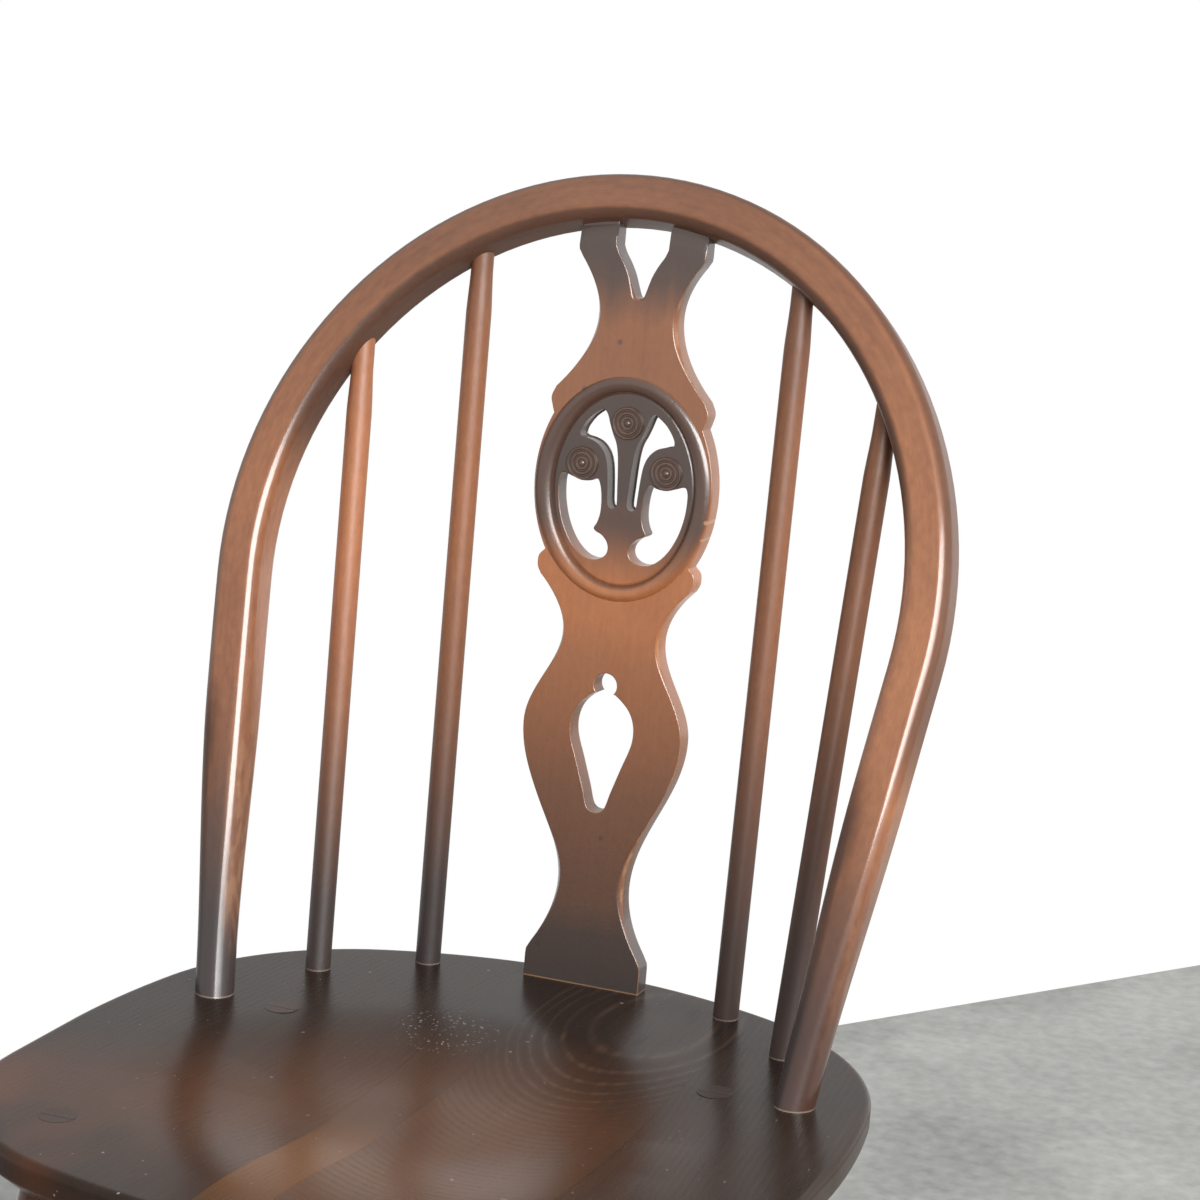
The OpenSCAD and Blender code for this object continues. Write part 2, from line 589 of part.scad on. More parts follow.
// Spindles
// A spindle is turned with a straight body, a short cone and a thinner tenon for the bow
module spindle(side, foot, turn) {
    top = bow_mid(turn);
    d = unit(top - foot);
    length = norm(top - foot);
    arch_dir = unit([-bow_half_w * sin(turn), bow_rise * cos(turn) * bow_tan(top[2]), bow_rise * cos(turn)]);
    meet = acos(d * arch_dir);
    reach = bow_face / 2 / sin(meet) + spindle_tenon_d / 2 / tan(meet) + spindle_clear;
    body = length - reach - spindle_taper;
    color(bow_stain) on_chair() mirror([side < 0 ? 1 : 0, 0, 0]) along_axis(foot, d) {
        translate([0, 0, -spindle_hole]) cylinder(h = spindle_hole + body, r = spindle_d / 2);
        translate([0, 0, body]) cylinder(h = spindle_taper, r1 = spindle_d / 2, r2 = spindle_tenon_d / 2);
        translate([0, 0, length - reach]) cylinder(h = reach + spindle_tenon_past, r = spindle_tenon_d / 2);
    }
}

module spindle_outer(side) {
    spindle(side, spindle_foot(outer_foot_x, outer_foot_front), outer_turn);
}

module spindle_inner(side) {
    spindle(side, spindle_foot(inner_foot_x, inner_foot_front), inner_turn);
}

// Legs
// A leg's tenon, drawn past the seat's top and into the leg, and cut to length by its user
module leg_tenon(toe, top) {
    rod(lerp(top, toe, 1.5 * seat_t / seat_h), top + (top - toe) * over / seat_h, leg_tenon_d / 2);
}

leg_rows = 18;
module leg_body(toe, top) {
    length = norm(top - toe);
    rise = top[2] - toe[2];
    along_axis(toe, top - toe) turning(concat(
        [[-over, leg_toe_d / 2]],
        [for (k = [0 : leg_rows]) let (z = (seat_h - seat_t) * k / leg_rows) [z * length / rise, leg_r(z)]],
        [[(seat_h - seat_t + over) * length / rise, leg_neck_d / 2]]));
}

module leg(side, toe, top, stretcher_at, stretcher_dir) {
    color(leg_stain) on_chair() mirror([side < 0 ? 1 : 0, 0, 0]) difference() {
        union() {
            intersection() {
                leg_body(toe, top);
                translate([0, -2 * seat_d, -seat_h]) cube([seat_w, 4 * seat_d, seat_h - seat_t]);
            }
            intersection() {
                leg_tenon(toe, top);
                translate([0, -2 * seat_d, -2 * seat_t]) cube([seat_w, 4 * seat_d, 2 * seat_t]);
            }
        }
        leg_wedge_shape(toe, top, glue_gap);
        rod(stretcher_at + stretcher_dir * (side_start - glue_gap), stretcher_at + stretcher_dir * leg_belly_d,
            stretcher_end_d / 2 + glue_gap);
    }
}

module leg_front(side) {
    leg(side, front_leg_at(0), front_leg_at(seat_h), stretcher_front, side_dir);
}

module leg_rear(side) {
    leg(side, rear_leg_at(0), rear_leg_at(seat_h), stretcher_rear, -side_dir);
}

// Stretchers
module stretcher_between(a, b, start) {
    end_share = 0.077;
    swell_share = 0.385;
    length = norm(b - a) - 2 * start;
    along_axis(a + unit(b - a) * start, b - a) turning([for (k = [0 : 20]) let (t = k / 20)
        [length * t, lerp(stretcher_end_d, stretcher_mid_d, ease((min(t, 1 - t) - end_share) / swell_share)) / 2]]);
}

module side_stretcher(side) {
    across = [-1, 0, 0];
    color(leg_stain) on_chair() mirror([side < 0 ? 1 : 0, 0, 0]) difference() {
        stretcher_between(stretcher_front, stretcher_rear, side_start);
        rod(side_mid + across * (cross_start - glue_gap), side_mid + across * stretcher_mid_d,
            stretcher_end_d / 2 + glue_gap);
    }
}

module cross_stretcher() {
    color(leg_stain) on_chair() stretcher_between(side_mid, flip_x(side_mid), cross_start);
}

// Wedges: driven into the tenons' ends, across the grain of the seat
module wedge_blade(width, grow) {
    rotate([90, 0, 90]) translate([0, 0, -width / 2]) linear_extrude(width)
        polygon([[-wedge_t / 2 - grow, over], [-wedge_t / 2 - grow, 0], [-wedge_tip / 2 - grow, -wedge_l - grow],
                 [wedge_tip / 2 + grow, -wedge_l - grow], [wedge_t / 2 + grow, 0], [wedge_t / 2 + grow, over]]);
}

module leg_wedge_shape(toe, top, grow) {
    slope = (top - toe) / (top[2] - toe[2]);
    multmatrix([[1, 0, slope[0], top[0]], [0, 1, slope[1], top[1]], [0, 0, 1, 0]])
        wedge_blade(leg_tenon_d + over, grow);
}

module leg_wedge(side, toe, top) {
    color(bare_wood) on_chair() mirror([side < 0 ? 1 : 0, 0, 0]) intersection() {
        leg_wedge_shape(toe, top, 0);
        leg_tenon(toe, top);
        translate([0, -2 * seat_d, -2 * seat_t]) cube([seat_w, 4 * seat_d, 2 * seat_t]);
    }
}

module bow_wedge_shape(grow) {
    low = collar_at - foot_dir * foot_len;
    slope = foot_dir / foot_dir[2];
    multmatrix([[1, 0, slope[0], low[0]], [0, 1, slope[1], low[1]], [0, 0, 1, low[2]]])
        mirror([0, 0, 1]) wedge_blade(bow_foot_d + over, grow);
}

module bow_wedge(side) {
    color(bare_wood) on_chair() mirror([side < 0 ? 1 : 0, 0, 0]) intersection() {
        bow_wedge_shape(0);
        rod(collar_at, collar_at - foot_dir * (foot_len + over), bow_foot_d / 2);
        translate([0, -seat_d, seat_bottom]) cube([seat_w, 2 * seat_d, 2 * seat_t]);
    }
}

seat_board(-seat_w, joint_left, [-1]);  // seat_board_left
seat_board(joint_left, joint_middle, []);  // seat_board_inner_left
seat_board(joint_middle, joint_right, [1]);  // seat_board_inner_right
seat_board(joint_right, seat_w, [1]);  // seat_board_right
bow();
splat();
spindle_outer(-1);  // spindle_outer_left
spindle_inner(-1);  // spindle_inner_left
spindle_inner(1);  // spindle_inner_right
spindle_outer(1);  // spindle_outer_right
leg_front(-1);  // leg_front_left
leg_front(1);  // leg_front_right
leg_rear(-1);  // leg_rear_left
leg_rear(1);  // leg_rear_right
side_stretcher(-1);  // side_stretcher_left
side_stretcher(1);  // side_stretcher_right
cross_stretcher();
leg_wedge(-1, front_leg_at(0), front_leg_at(seat_h));  // leg_wedge_front_left
leg_wedge(1, front_leg_at(0), front_leg_at(seat_h));  // leg_wedge_front_right
leg_wedge(-1, rear_leg_at(0), rear_leg_at(seat_h));  // leg_wedge_rear_left
leg_wedge(1, rear_leg_at(0), rear_leg_at(seat_h));  // leg_wedge_rear_right
bow_wedge(-1);  // bow_wedge_left
bow_wedge(1);  // bow_wedge_right
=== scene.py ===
"""Looks of a bow-back dining chair with a pierced splat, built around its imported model."""

import logging
import math
from dataclasses import dataclass, field
from enum import Enum
from typing import Callable, ClassVar, Sequence

import bmesh
import bpy
from bmesh.types import BMEdge, BMesh, BMVert
from mathutils import Matrix, Vector


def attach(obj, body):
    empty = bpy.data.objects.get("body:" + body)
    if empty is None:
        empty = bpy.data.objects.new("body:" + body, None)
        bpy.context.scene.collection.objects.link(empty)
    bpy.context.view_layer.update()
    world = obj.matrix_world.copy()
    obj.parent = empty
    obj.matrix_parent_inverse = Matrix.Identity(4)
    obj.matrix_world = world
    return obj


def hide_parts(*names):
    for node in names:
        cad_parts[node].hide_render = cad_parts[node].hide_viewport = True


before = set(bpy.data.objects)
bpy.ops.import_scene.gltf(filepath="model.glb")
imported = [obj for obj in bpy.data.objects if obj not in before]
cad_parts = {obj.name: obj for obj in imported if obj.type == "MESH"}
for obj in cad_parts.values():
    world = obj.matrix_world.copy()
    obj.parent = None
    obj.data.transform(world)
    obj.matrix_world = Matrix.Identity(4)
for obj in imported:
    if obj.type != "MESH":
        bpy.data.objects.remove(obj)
log = logging.getLogger("chair")

# Sizes are written in millimetres, and the model is in metres
MM = 0.001
SEAT_TOP = 430.0
SEAT_THICK = 33.0
RELIEF = 0.4 * MM

# The splat's face stands this far behind the middle of the chair's box
FACE_Y = 174.919

# Attributes that the points of a piece carry
TIMBER = "timber"
# The second carries wear and painted light, and painted shade below 0, on sides turned from the lamps, in
# grooves and in hollow walls
WEAR_AND_PAINTED_LIGHT = "wear_and_painted_light"

# Sockets of a Mix node that blends colours
SHARE, COLOUR_A, COLOUR_B, BLENDED = 0, 6, 7, 2

Row = tuple[float, float]
Triple = tuple[float, float, float]
Colour = Triple
Ring = list[BMVert]


def spot(x: float, y: float, z: float) -> Vector:
    """A point in metres, from millimetres: x right, y behind the splat's face, z above the seat."""
    return Vector((x, y + FACE_Y, z + SEAT_TOP)) * MM


def mix(a: float, b: float, t: float) -> float:
    """The value at share t of the way from a to b."""
    return a + (b - a) * t


def ease(t: float) -> float:
    """A smooth rise from 0 to 1."""
    c = min(max(t, 0.0), 1.0)
    return c * c * (3 - 2 * c)


def swell(t: float) -> float:
    """A smooth bump: 1 at t = 0, and 0 from t = 1 on."""
    return math.cos(math.pi / 2 * min(abs(t), 1.0)) ** 2


def flow(points: Sequence[Row], closed: bool, steps: int) -> list[Row]:
    """A smooth curve through key points.

    Args:
        points: the key points.
        closed: whether the curve returns to its start.
        steps: how many points each stretch gets.

    Returns:
        The points of the curve.
    """
    count = len(points)
    keys = list(points)
    if closed:
        keys = [keys[-1], *keys, keys[0], keys[1]]
    else:
        first = (2 * keys[0][0] - keys[1][0], 2 * keys[0][1] - keys[1][1])
        last = (2 * keys[-1][0] - keys[-2][0], 2 * keys[-1][1] - keys[-2][1])
        keys = [first, *keys, last]
    made: list[Row] = []
    for i in range(count if closed else count - 1):
        a, b, c, d = keys[i:i + 4]
        for k in range(steps):
            t = k / steps
            made.append(tuple(0.5 * (2 * b[n] + (c[n] - a[n]) * t
                                     + (2 * a[n] - 5 * b[n] + 4 * c[n] - d[n]) * t * t
                                     + (3 * b[n] - a[n] - 3 * c[n] + d[n]) * t ** 3) for n in (0, 1)))
    if not closed:
        made.append(tuple(points[-1]))
    return made


def mirrored(points: Sequence[Row]) -> list[Row]:
    """The points on the other side of the middle, in the opposite order."""
    return [(-x, z) for x, z in reversed(points)]


class Wire:
    """A shader socket that takes part in sums."""

    def __init__(self, graph: "Graph", socket: bpy.types.NodeSocket) -> None:
        """Keeps the socket and the graph that it belongs to."""
        self.graph = graph
        self.socket = socket

    def _sum(self, how: str, *values: "Wire | float") -> "Wire":
        """A Math node of the kind that is named."""
        return self.graph.node("ShaderNodeMath", {"operation": how}, dict(enumerate(values)))

    def __add__(self, other: "Wire | float") -> "Wire":
        """self + other."""
        return self._sum("ADD", self, other)

    def __radd__(self, other: float) -> "Wire":
        """other + self."""
        return self._sum("ADD", other, self)

    def __sub__(self, other: "Wire | float") -> "Wire":
        """self - other."""
        return self._sum("SUBTRACT", self, other)

    def __rsub__(self, other: float) -> "Wire":
        """other - self."""
        return self._sum("SUBTRACT", other, self)

    def __mul__(self, other: "Wire | float") -> "Wire":
        """self * other."""
        return self._sum("MULTIPLY", self, other)

    def __rmul__(self, other: float) -> "Wire":
        """other * self."""
        return self._sum("MULTIPLY", other, self)

    def __truediv__(self, other: "Wire | float") -> "Wire":
        """self / other."""
        return self._sum("DIVIDE", self, other)

    def __rtruediv__(self, other: float) -> "Wire":
        """other / self."""
        return self._sum("DIVIDE", other, self)

    def __pow__(self, other: "Wire | float") -> "Wire":
        """self ** other."""
        return self._sum("POWER", self, other)

    def __abs__(self) -> "Wire":
        """The size of self without its sign."""
        return self._sum("ABSOLUTE", self)

    def root(self) -> "Wire":
        """The square root."""
        return self._sum("SQRT", self)

    def wave(self) -> "Wire":
        """The sine."""
        return self._sum("SINE", self)

    def most(self, other: "Wire | float") -> "Wire":
        """The larger of the two."""
        return self._sum("MAXIMUM", self, other)

    def over(self, low: float, high: float) -> "Wire":
        """A smooth rise from 0 at low to 1 at high, or a fall where high is the smaller."""
        return self.graph.node("ShaderNodeMapRange", {"interpolation_type": "SMOOTHSTEP"},
                               {"Value": self, "From Min": low, "From Max": high})


class Graph:
    """The nodes of one material or of the world."""

    def __init__(self, owner: "bpy.types.Material | bpy.types.World") -> None:
        """Empties the nodes of their owner.

        Args:
            owner: the material or the world whose nodes these are.
        """
        self.owner = owner
        owner.use_nodes = True
        self.tree = owner.node_tree
        self.tree.nodes.clear()

    @classmethod
    def of_material(cls, name: str) -> "Graph":
        """The nodes of a new material of that name."""
        return cls(bpy.data.materials.new(name))

    def node(self, kind: str, settings: dict, inputs: dict, out: int | str = 0) -> Wire:
        """Adds a node.

        Args:
            kind: the node's type.
            settings: its settings, such as a ramp's stops, which are set first.
            inputs: the values or wires of its sockets.
            out: the output that is wanted.

        Returns:
            That output.
        """
        made = self.tree.nodes.new(kind)
        for key, value in settings.items():
            if key == "stops":
                ramp = made.color_ramp
                while len(ramp.elements) > 1:
                    ramp.elements.remove(ramp.elements[-1])
                for n, (place, colour) in enumerate(value):
                    stop = ramp.elements[0] if n == 0 else ramp.elements.new(place)
                    stop.position = place
                    stop.color = (*colour, 1.0)
            else:
                setattr(made, key, value)
        for key, value in inputs.items():
            if isinstance(value, Wire):
                self.tree.links.new(value.socket, made.inputs[key])
            elif isinstance(value, tuple) and made.inputs[key].type == "RGBA":
                made.inputs[key].default_value = (*value, 1.0)
            else:
                made.inputs[key].default_value = value
        return Wire(self, made.outputs[out] if made.outputs else None)

    def place(self) -> tuple[Wire, Wire, Wire]:
        """The three object coordinates, in metres."""
        where = self.node("ShaderNodeTexCoord", {}, {}, "Object")
        return tuple(self.node("ShaderNodeSeparateXYZ", {}, {0: where}, axis) for axis in "XYZ")

    def whole_place(self) -> Wire:
        """The object coordinates as one vector, in metres."""
        return self.node("ShaderNodeTexCoord", {}, {}, "Object")

    def timber(self) -> Wire:
        """The place of a point in the timber that its piece was cut from, in metres."""
        return self.node("ShaderNodeAttribute", {"attribute_name": TIMBER}, {}, "Vector")

    def wear_and_painted_light(self) -> Wire:
        """Wear and painted light at a place on a piece, from 0 to 1, or painted shade and darker stain, down
        to -1.
        """
        return self.node("ShaderNodeAttribute", {"attribute_name": WEAR_AND_PAINTED_LIGHT}, {}, "Fac")

    def noise(self, where: Wire, stretch: Sequence[float], detail: float = 2.0,
              distortion: float = 0.0) -> Wire:
        """Soft noise round 0.5, so many periods to the metre along each axis."""
        scaled = self.node("ShaderNodeVectorMath", {"operation": "MULTIPLY"}, {0: where, 1: tuple(stretch)})
        return self.node("ShaderNodeTexNoise", {}, {"Vector": scaled, "Scale": 1.0, "Detail": detail,
                                                    "Distortion": distortion})

    def blend(self, share: "Wire | float", a: "Wire | Colour", b: "Wire | Colour") -> Wire:
        """Colour a, with so much of colour b over it."""
        return self.node("ShaderNodeMix", {"data_type": "RGBA", "clamp_factor": True},
                         {SHARE: share, COLOUR_A: a, COLOUR_B: b}, BLENDED)

    def ramp(self, share: Wire, stops: Sequence[tuple[float, float]]) -> Wire:
        """A value read from stops of place and value."""
        return self.node("ShaderNodeValToRGB", {"stops": [(p, (v, v, v)) for p, v in stops]}, {0: share})

    def spot(self, x: Wire, z: Wire, at: Row, size: float) -> Wire:
        """A soft round spot of that size at a place, in millimetres."""
        across, up = x / MM - at[0], z / MM - at[1]
        return (across * across + up * up).root().over(size, size * 0.45)

    def bump(self, relief: Wire, strength: float) -> Wire:
        """A normal that follows a fine relief."""
        return self.node("ShaderNodeBump", {}, {"Strength": strength, "Distance": RELIEF, "Height": relief})

    def surface(self, inputs: dict) -> bpy.types.Material:
        """Ends the material in one Principled shader with these inputs."""
        return self.close("ShaderNodeOutputMaterial", self.node("ShaderNodeBsdfPrincipled", {}, inputs))

    def close(self, kind: str, shader: Wire) -> "bpy.types.Material | bpy.types.World":
        """Joins the shader to an output node and returns the nodes' owner."""
        self.node(kind, {}, {"Surface": shader})
        return self.owner


@dataclass(frozen=True)
class Beech:
    """Stained and lacquered beech, shaded darker at its ends by the spray.

    Heights and places are millimetres above the floor and to the right of the middle.

    Attributes:
        light: the stain's palest tone.
        deep: its deepest tone.
        shading: the sprayed shade's strength at a row of heights.
        shaded: the colour of the sprayed shade.
        shaded_right: that colour on the chair's right half, where it differs.
        bare: the bare wood, where the stain has gone, and in patches of painted light.
        ring_tone: the thin ring of dried lacquer at the foot.
        rough: the roughness of the stained wood.
        coat: how strong the lacquer's gloss is.
        sheen: the gloss of the wood under it.
        foot_ring: how high the lacquer ring is, or 0 for none.
        pools: ovals of shade: middle, half width, half height, two heights of its fade, and strength.
        chips: small bare spots: place, height and size.
        dents: small dark spots: place, height and size.
        dull_from: the height from which the lacquer is gone.
        outside: the strength of the painted shade, and of the darker stain at the bow's outer edge, where the
            points carry them.
        wear_and_painted_light_share: how much of the sprayed shade is taken off where the points carry wear
            or painted light.
        still: how much of the lacquer's gloss is gone where the points carry painted shade.
    """

    FINE: ClassVar[Triple] = (420.0, 420.0, 11.0)
    WIDE: ClassVar[Triple] = (70.0, 70.0, 3.0)
    BLOTCH: ClassVar[Triple] = (22.0, 22.0, 9.0)
    FLECK: ClassVar[Triple] = (1500.0, 1500.0, 260.0)
    MOTTLE: ClassVar[Triple] = (300.0, 300.0, 130.0)
    RUB: ClassVar[Triple] = (160.0, 160.0, 60.0)
    ORANGE_PEEL: ClassVar[Triple] = (420.0, 420.0, 420.0)

    name: str
    light: Colour
    deep: Colour
    shading: tuple[Row, ...]
    shaded: Colour = (0.050, 0.043, 0.041)
    shaded_right: tuple = ()
    bare: Colour = (0.62, 0.36, 0.20)
    ring_tone: Colour = (0.46, 0.36, 0.29)
    rough: float = 0.32
    coat: float = 0.45
    sheen: float = 0.5
    foot_ring: float = 0.0
    pools: tuple = ()
    chips: tuple = ()
    dents: tuple = ()
    dull_from: float = 9000.0
    outside: float = 0.0
    wear_and_painted_light_share: float = 0.45
    still: float = 0.0

    def sprayed(self, g: Graph, place: tuple[Wire, Wire], wide: Wire, blotch: Wire) -> Wire:
        """Works out how strong the sprayed shade is.

        Args:
            g: the material's nodes.
            place: the place across and the height, in metres.
            wide: slow noise along the grain.
            blotch: how unevenly the wood takes the stain.

        Returns:
            A share from 0 to 1.
        """
        x, z = place
        low, high = self.shading[0][0], self.shading[-1][0]
        height = (z / MM - low) / (high - low) + (wide - 0.5) * 0.05 + (blotch - 0.5) * 0.04
        shade = g.ramp(height, [((p - low) / (high - low), v) for p, v in self.shading])
        for middle, half_w, half_h, low, high, share in self.pools:
            across, up = x / (half_w * MM), (z / MM - middle) / half_h
            inside = (across * across + up * up).root().over(1.0, 0.95)
            shade = shade.most(inside * (z / MM + (blotch - 0.5) * 14.0).over(low, high) * share)
        return shade

    def material(self) -> bpy.types.Material:
        """Builds the material.

        Returns:
            The material.
        """
        g = Graph.of_material(self.name)
        grain = g.timber()
        x, _, z = g.place()
        fine = g.noise(grain, self.FINE, 3.0)
        wide = g.noise(grain, self.WIDE, 2.0, 0.3)
        blotch = g.noise(grain, self.BLOTCH, 2.0)
        fleck = g.noise(grain, self.FLECK, 1.0).over(0.55, 0.70)
        mottle = g.noise(grain, self.MOTTLE, 3.0)
        tone = 0.5 + (blotch - 0.5) * 1.1 + (wide - 0.5) * 0.6 + (fine - 0.5) * 0.5 + (mottle - 0.5) * 0.9
        colour = g.blend(tone, self.light, self.deep)
        colour = g.blend(fleck * 0.30, colour, self.deep)
        wear_and_painted_light = g.wear_and_painted_light()
        painted_shade_and_stain = wear_and_painted_light.over(0.0, -1.0)
        # Painted shade where the points ask for it, on sides turned from the lamps, in grooves, hollow walls
        # and under the arch, partly darker stain at the bow's outer edge; less sprayed shade where they carry
        # wear or painted light
        shade = self.sprayed(g, (x, z), wide, blotch).most(painted_shade_and_stain * self.outside)
        shade = shade * (1 - wear_and_painted_light.over(0.0, 0.6) * self.wear_and_painted_light_share)
        shaded = self.shaded
        if self.shaded_right:
            shaded = g.blend(x.over(0.0, 0.05) * (1 - painted_shade_and_stain), self.shaded, self.shaded_right)
        colour = g.blend(shade, colour, shaded)
        for spots, strength, tint in ((self.dents, 0.55, self.shaded), (self.chips, 0.8, self.bare)):
            for at_x, at_z, size in spots:
                colour = g.blend(g.spot(x, z, (at_x, at_z), size) * strength, colour, tint)
        rub = g.noise(grain, self.RUB, 2.0)
        # Bare-looking patches where the points carry wear, and painted light on the bow's low right-facing
        # sides
        colour = g.blend(wear_and_painted_light * rub.over(0.42, 0.62) * 0.45, colour, self.bare)
        if self.foot_ring:
            ring = (z / MM).over(SEAT_TOP + self.foot_ring + 0.5, SEAT_TOP + self.foot_ring)
            colour = g.blend(ring * (0.25 + 0.5 * blotch), colour, self.ring_tone)
        dull = (z / MM).over(self.dull_from - 2, self.dull_from)
        orange_peel = g.noise(g.whole_place(), self.ORANGE_PEEL, 2.0)
        relief = fine * 0.4 + fleck * -0.4 + rub * 0.8 + orange_peel * 0.8
        return g.surface({
            "Base Color": colour, "Roughness": self.rough + (blotch - 0.5) * 0.16 + fleck * 0.05,
            "Normal": g.bump(relief, 0.20), "IOR": 1.5, "Specular IOR Level": self.sheen,
            "Coat Weight": self.coat * (1 - dull) * (1 - painted_shade_and_stain * self.still), "Coat Roughness": 0.14})


@dataclass(frozen=True)
class Elm:
    """The open-grained wood of one seat board: dark round the rim, warmer in the dish, where it has had the
    most wear.

    Places are millimetres to the right of the middle and behind the splat's face.

    Attributes:
        heart: where the board's growth rings turn round.
        ring_gap: how far apart the rings lie.
        edges: the glue lines beside the board, as places to the right.
        width: how blunt open rings are at their turn.
        slope: how fast open rings drift as they run along the board.
        loops: of closed rings, how long they are for their width, the spread of the inner ones, and the
            size past which the gap is even. It is empty where the rings are open.
        gold: how golden the front of the dish is.
        figure: how strongly the rings show.
        tone: how much warmer than the others the board is.
        pale_share: how pale the lines between the rings are.
    """

    DRIFT: ClassVar[Triple] = (9.0, 9.0, 5.0)
    PORES: ClassVar[Triple] = (900.0, 900.0, 32.0)
    STREAK: ClassVar[Triple] = (240.0, 240.0, 9.0)
    BLOTCH: ClassVar[Triple] = (16.0, 16.0, 7.0)
    CLOUD: ClassVar[Triple] = (11.0, 7.0, 7.0)
    SPECK: ClassVar[Triple] = (230.0, 230.0, 230.0)
    SCUFF: ClassVar[Triple] = (500.0, 500.0, 500.0)
    DISH_HALF: ClassVar[Row] = (172.0, 165.0)
    DISH_Y: ClassVar[float] = -250.0
    SCUFF_AT: ClassVar[Row] = (-36.0, 71.0)
    SCUFF_SIZE: ClassVar[float] = 34.0
    CROWDING: ClassVar[float] = 2.58

    name: str
    heart: Row
    ring_gap: float
    edges: tuple[float, ...]
    width: float = 12.0
    slope: float = 0.10
    loops: tuple = ()
    gold: float = 0.0
    figure: float = 0.12
    tone: float = 0.0
    pale_share: float = 0.7
    deep: Colour = (0.035, 0.023, 0.018)
    warm: Colour = (0.150, 0.058, 0.022)
    golden: Colour = (0.265, 0.098, 0.017)
    reddish: Colour = (0.150, 0.052, 0.024)
    bare_rim: Colour = (0.20, 0.070, 0.032)
    ring_dark: Colour = (0.026, 0.018, 0.015)
    ring_pale: Colour = (0.24, 0.15, 0.10)
    glue: Colour = (0.016, 0.011, 0.009)
    dust: Colour = (0.48, 0.40, 0.34)
    scuffed: Colour = (0.48, 0.44, 0.40)

    def rings(self, right: Wire, behind: Wire, drift: Wire) -> tuple[Wire, "Wire | float"]:
        """Counts the growth rings from the heart.

        Args:
            right: the place to the right of the middle.
            behind: the place behind the splat's face.
            drift: slow noise along the grain, round 0.

        Returns:
            The count, and how clearly the pale lines between the rings show.
        """
        across = right - self.heart[0] + drift * 9.0
        along = behind - self.heart[1]
        if not self.loops:
            blunt = (across * across + self.width ** 2).root()
            return (blunt - along * self.slope) / self.ring_gap + drift * 0.8, 1.0
        stretch, spread, last = self.loops
        reach = (across * across + (along / stretch) * (along / stretch)).root()
        past = (reach - last).most(0.0)
        count = ((reach - past) / spread) ** self.CROWDING + past / self.ring_gap + drift * 0.8
        return count, 0.12 + reach.over(92.0, 50.0) * 0.88

    def material(self) -> bpy.types.Material:
        """Builds the material.

        Returns:
            The material.
        """
        g = Graph.of_material(self.name)
        grain, whole = g.timber(), g.whole_place()
        x, y, z = g.place()
        right, behind = x / MM, y / MM - FACE_Y
        drift = g.noise(grain, self.DRIFT, 2.0) - 0.5
        count, clear = self.rings(right, behind, drift)
        line = (count * (2 * math.pi)).wave() * 0.5 + 0.5
        pores = g.noise(grain, self.PORES, 2.0).over(0.52, 0.68)
        streak = g.noise(grain, self.STREAK, 2.0)
        blotch = g.noise(grain, self.BLOTCH, 3.0)
        cloud = g.noise(whole, self.CLOUD, 2.0)
        half_w, half_d = self.DISH_HALF
        out = ((x / (half_w * MM)) ** 2.0 + ((behind - self.DISH_Y) / half_d) ** 2.0).root()
        dish = out.over(1.12, 0.30)
        uneven = (blotch - 0.5) * 0.7 + (cloud - 0.5) * 0.8
        warmth = dish * (0.80 + self.tone) + uneven * (0.30 + dish * 0.70) + (streak - 0.5) * 0.2 + 0.03
        colour = g.blend(warmth, self.deep, self.warm)
        colour = g.blend(behind.over(-205.0, -300.0) * dish * self.gold, colour, self.golden)
        dark = (line ** 3.0) * (0.30 + pores * 0.70)
        colour = g.blend(dark * (0.12 + dish * 0.88) * self.figure, colour, self.ring_dark)
        broken = 0.35 + streak.over(0.40, 0.60) * 0.65 if self.loops else streak.over(0.44, 0.62)
        light = ((1 - line) ** 6.0) * broken * (0.45 + dish * 0.55) * clear
        colour = g.blend(light * self.figure * self.pale_share, colour, self.ring_pale)
        speck = g.noise(whole, self.SPECK, 1.0).over(0.775, 0.80)
        colour = g.blend(speck * 0.7, colour, self.dust)
        for edge in self.edges:
            colour = g.blend(abs(right - edge).over(0.5, 0.1) * 0.4, colour, self.glue)
        rim = right.over(-60.0, -120.0) * out.over(1.02, 1.16) * (y / MM).over(-60.0, -150.0)
        rim = rim * (z / MM).over(422.0, 427.5) * cloud.over(0.40, 0.56)
        colour = g.blend(rim * 0.6, colour, self.bare_rim)
        left = right.over(-70.0, -150.0) * behind.over(-190.0, -290.0)
        colour = g.blend(left * cloud.over(0.42, 0.62) * 0.5, colour, self.reddish)
        scuff = g.noise(whole, self.SCUFF, 1.0).over(0.66, 0.70)
        scuff = scuff * g.spot(x, y, self.SCUFF_AT, self.SCUFF_SIZE)
        colour = g.blend(scuff * 0.7, colour, self.scuffed)
        relief = 1.0 - dark * (0.1 + dish * 0.8) - pores * 0.2
        return g.surface({
            "Base Color": colour, "Roughness": 0.25 + (blotch - 0.5) * 0.12 + dark * 0.08,
            "Normal": g.bump(relief, 0.045), "IOR": 1.5, "Specular IOR Level": 0.11})


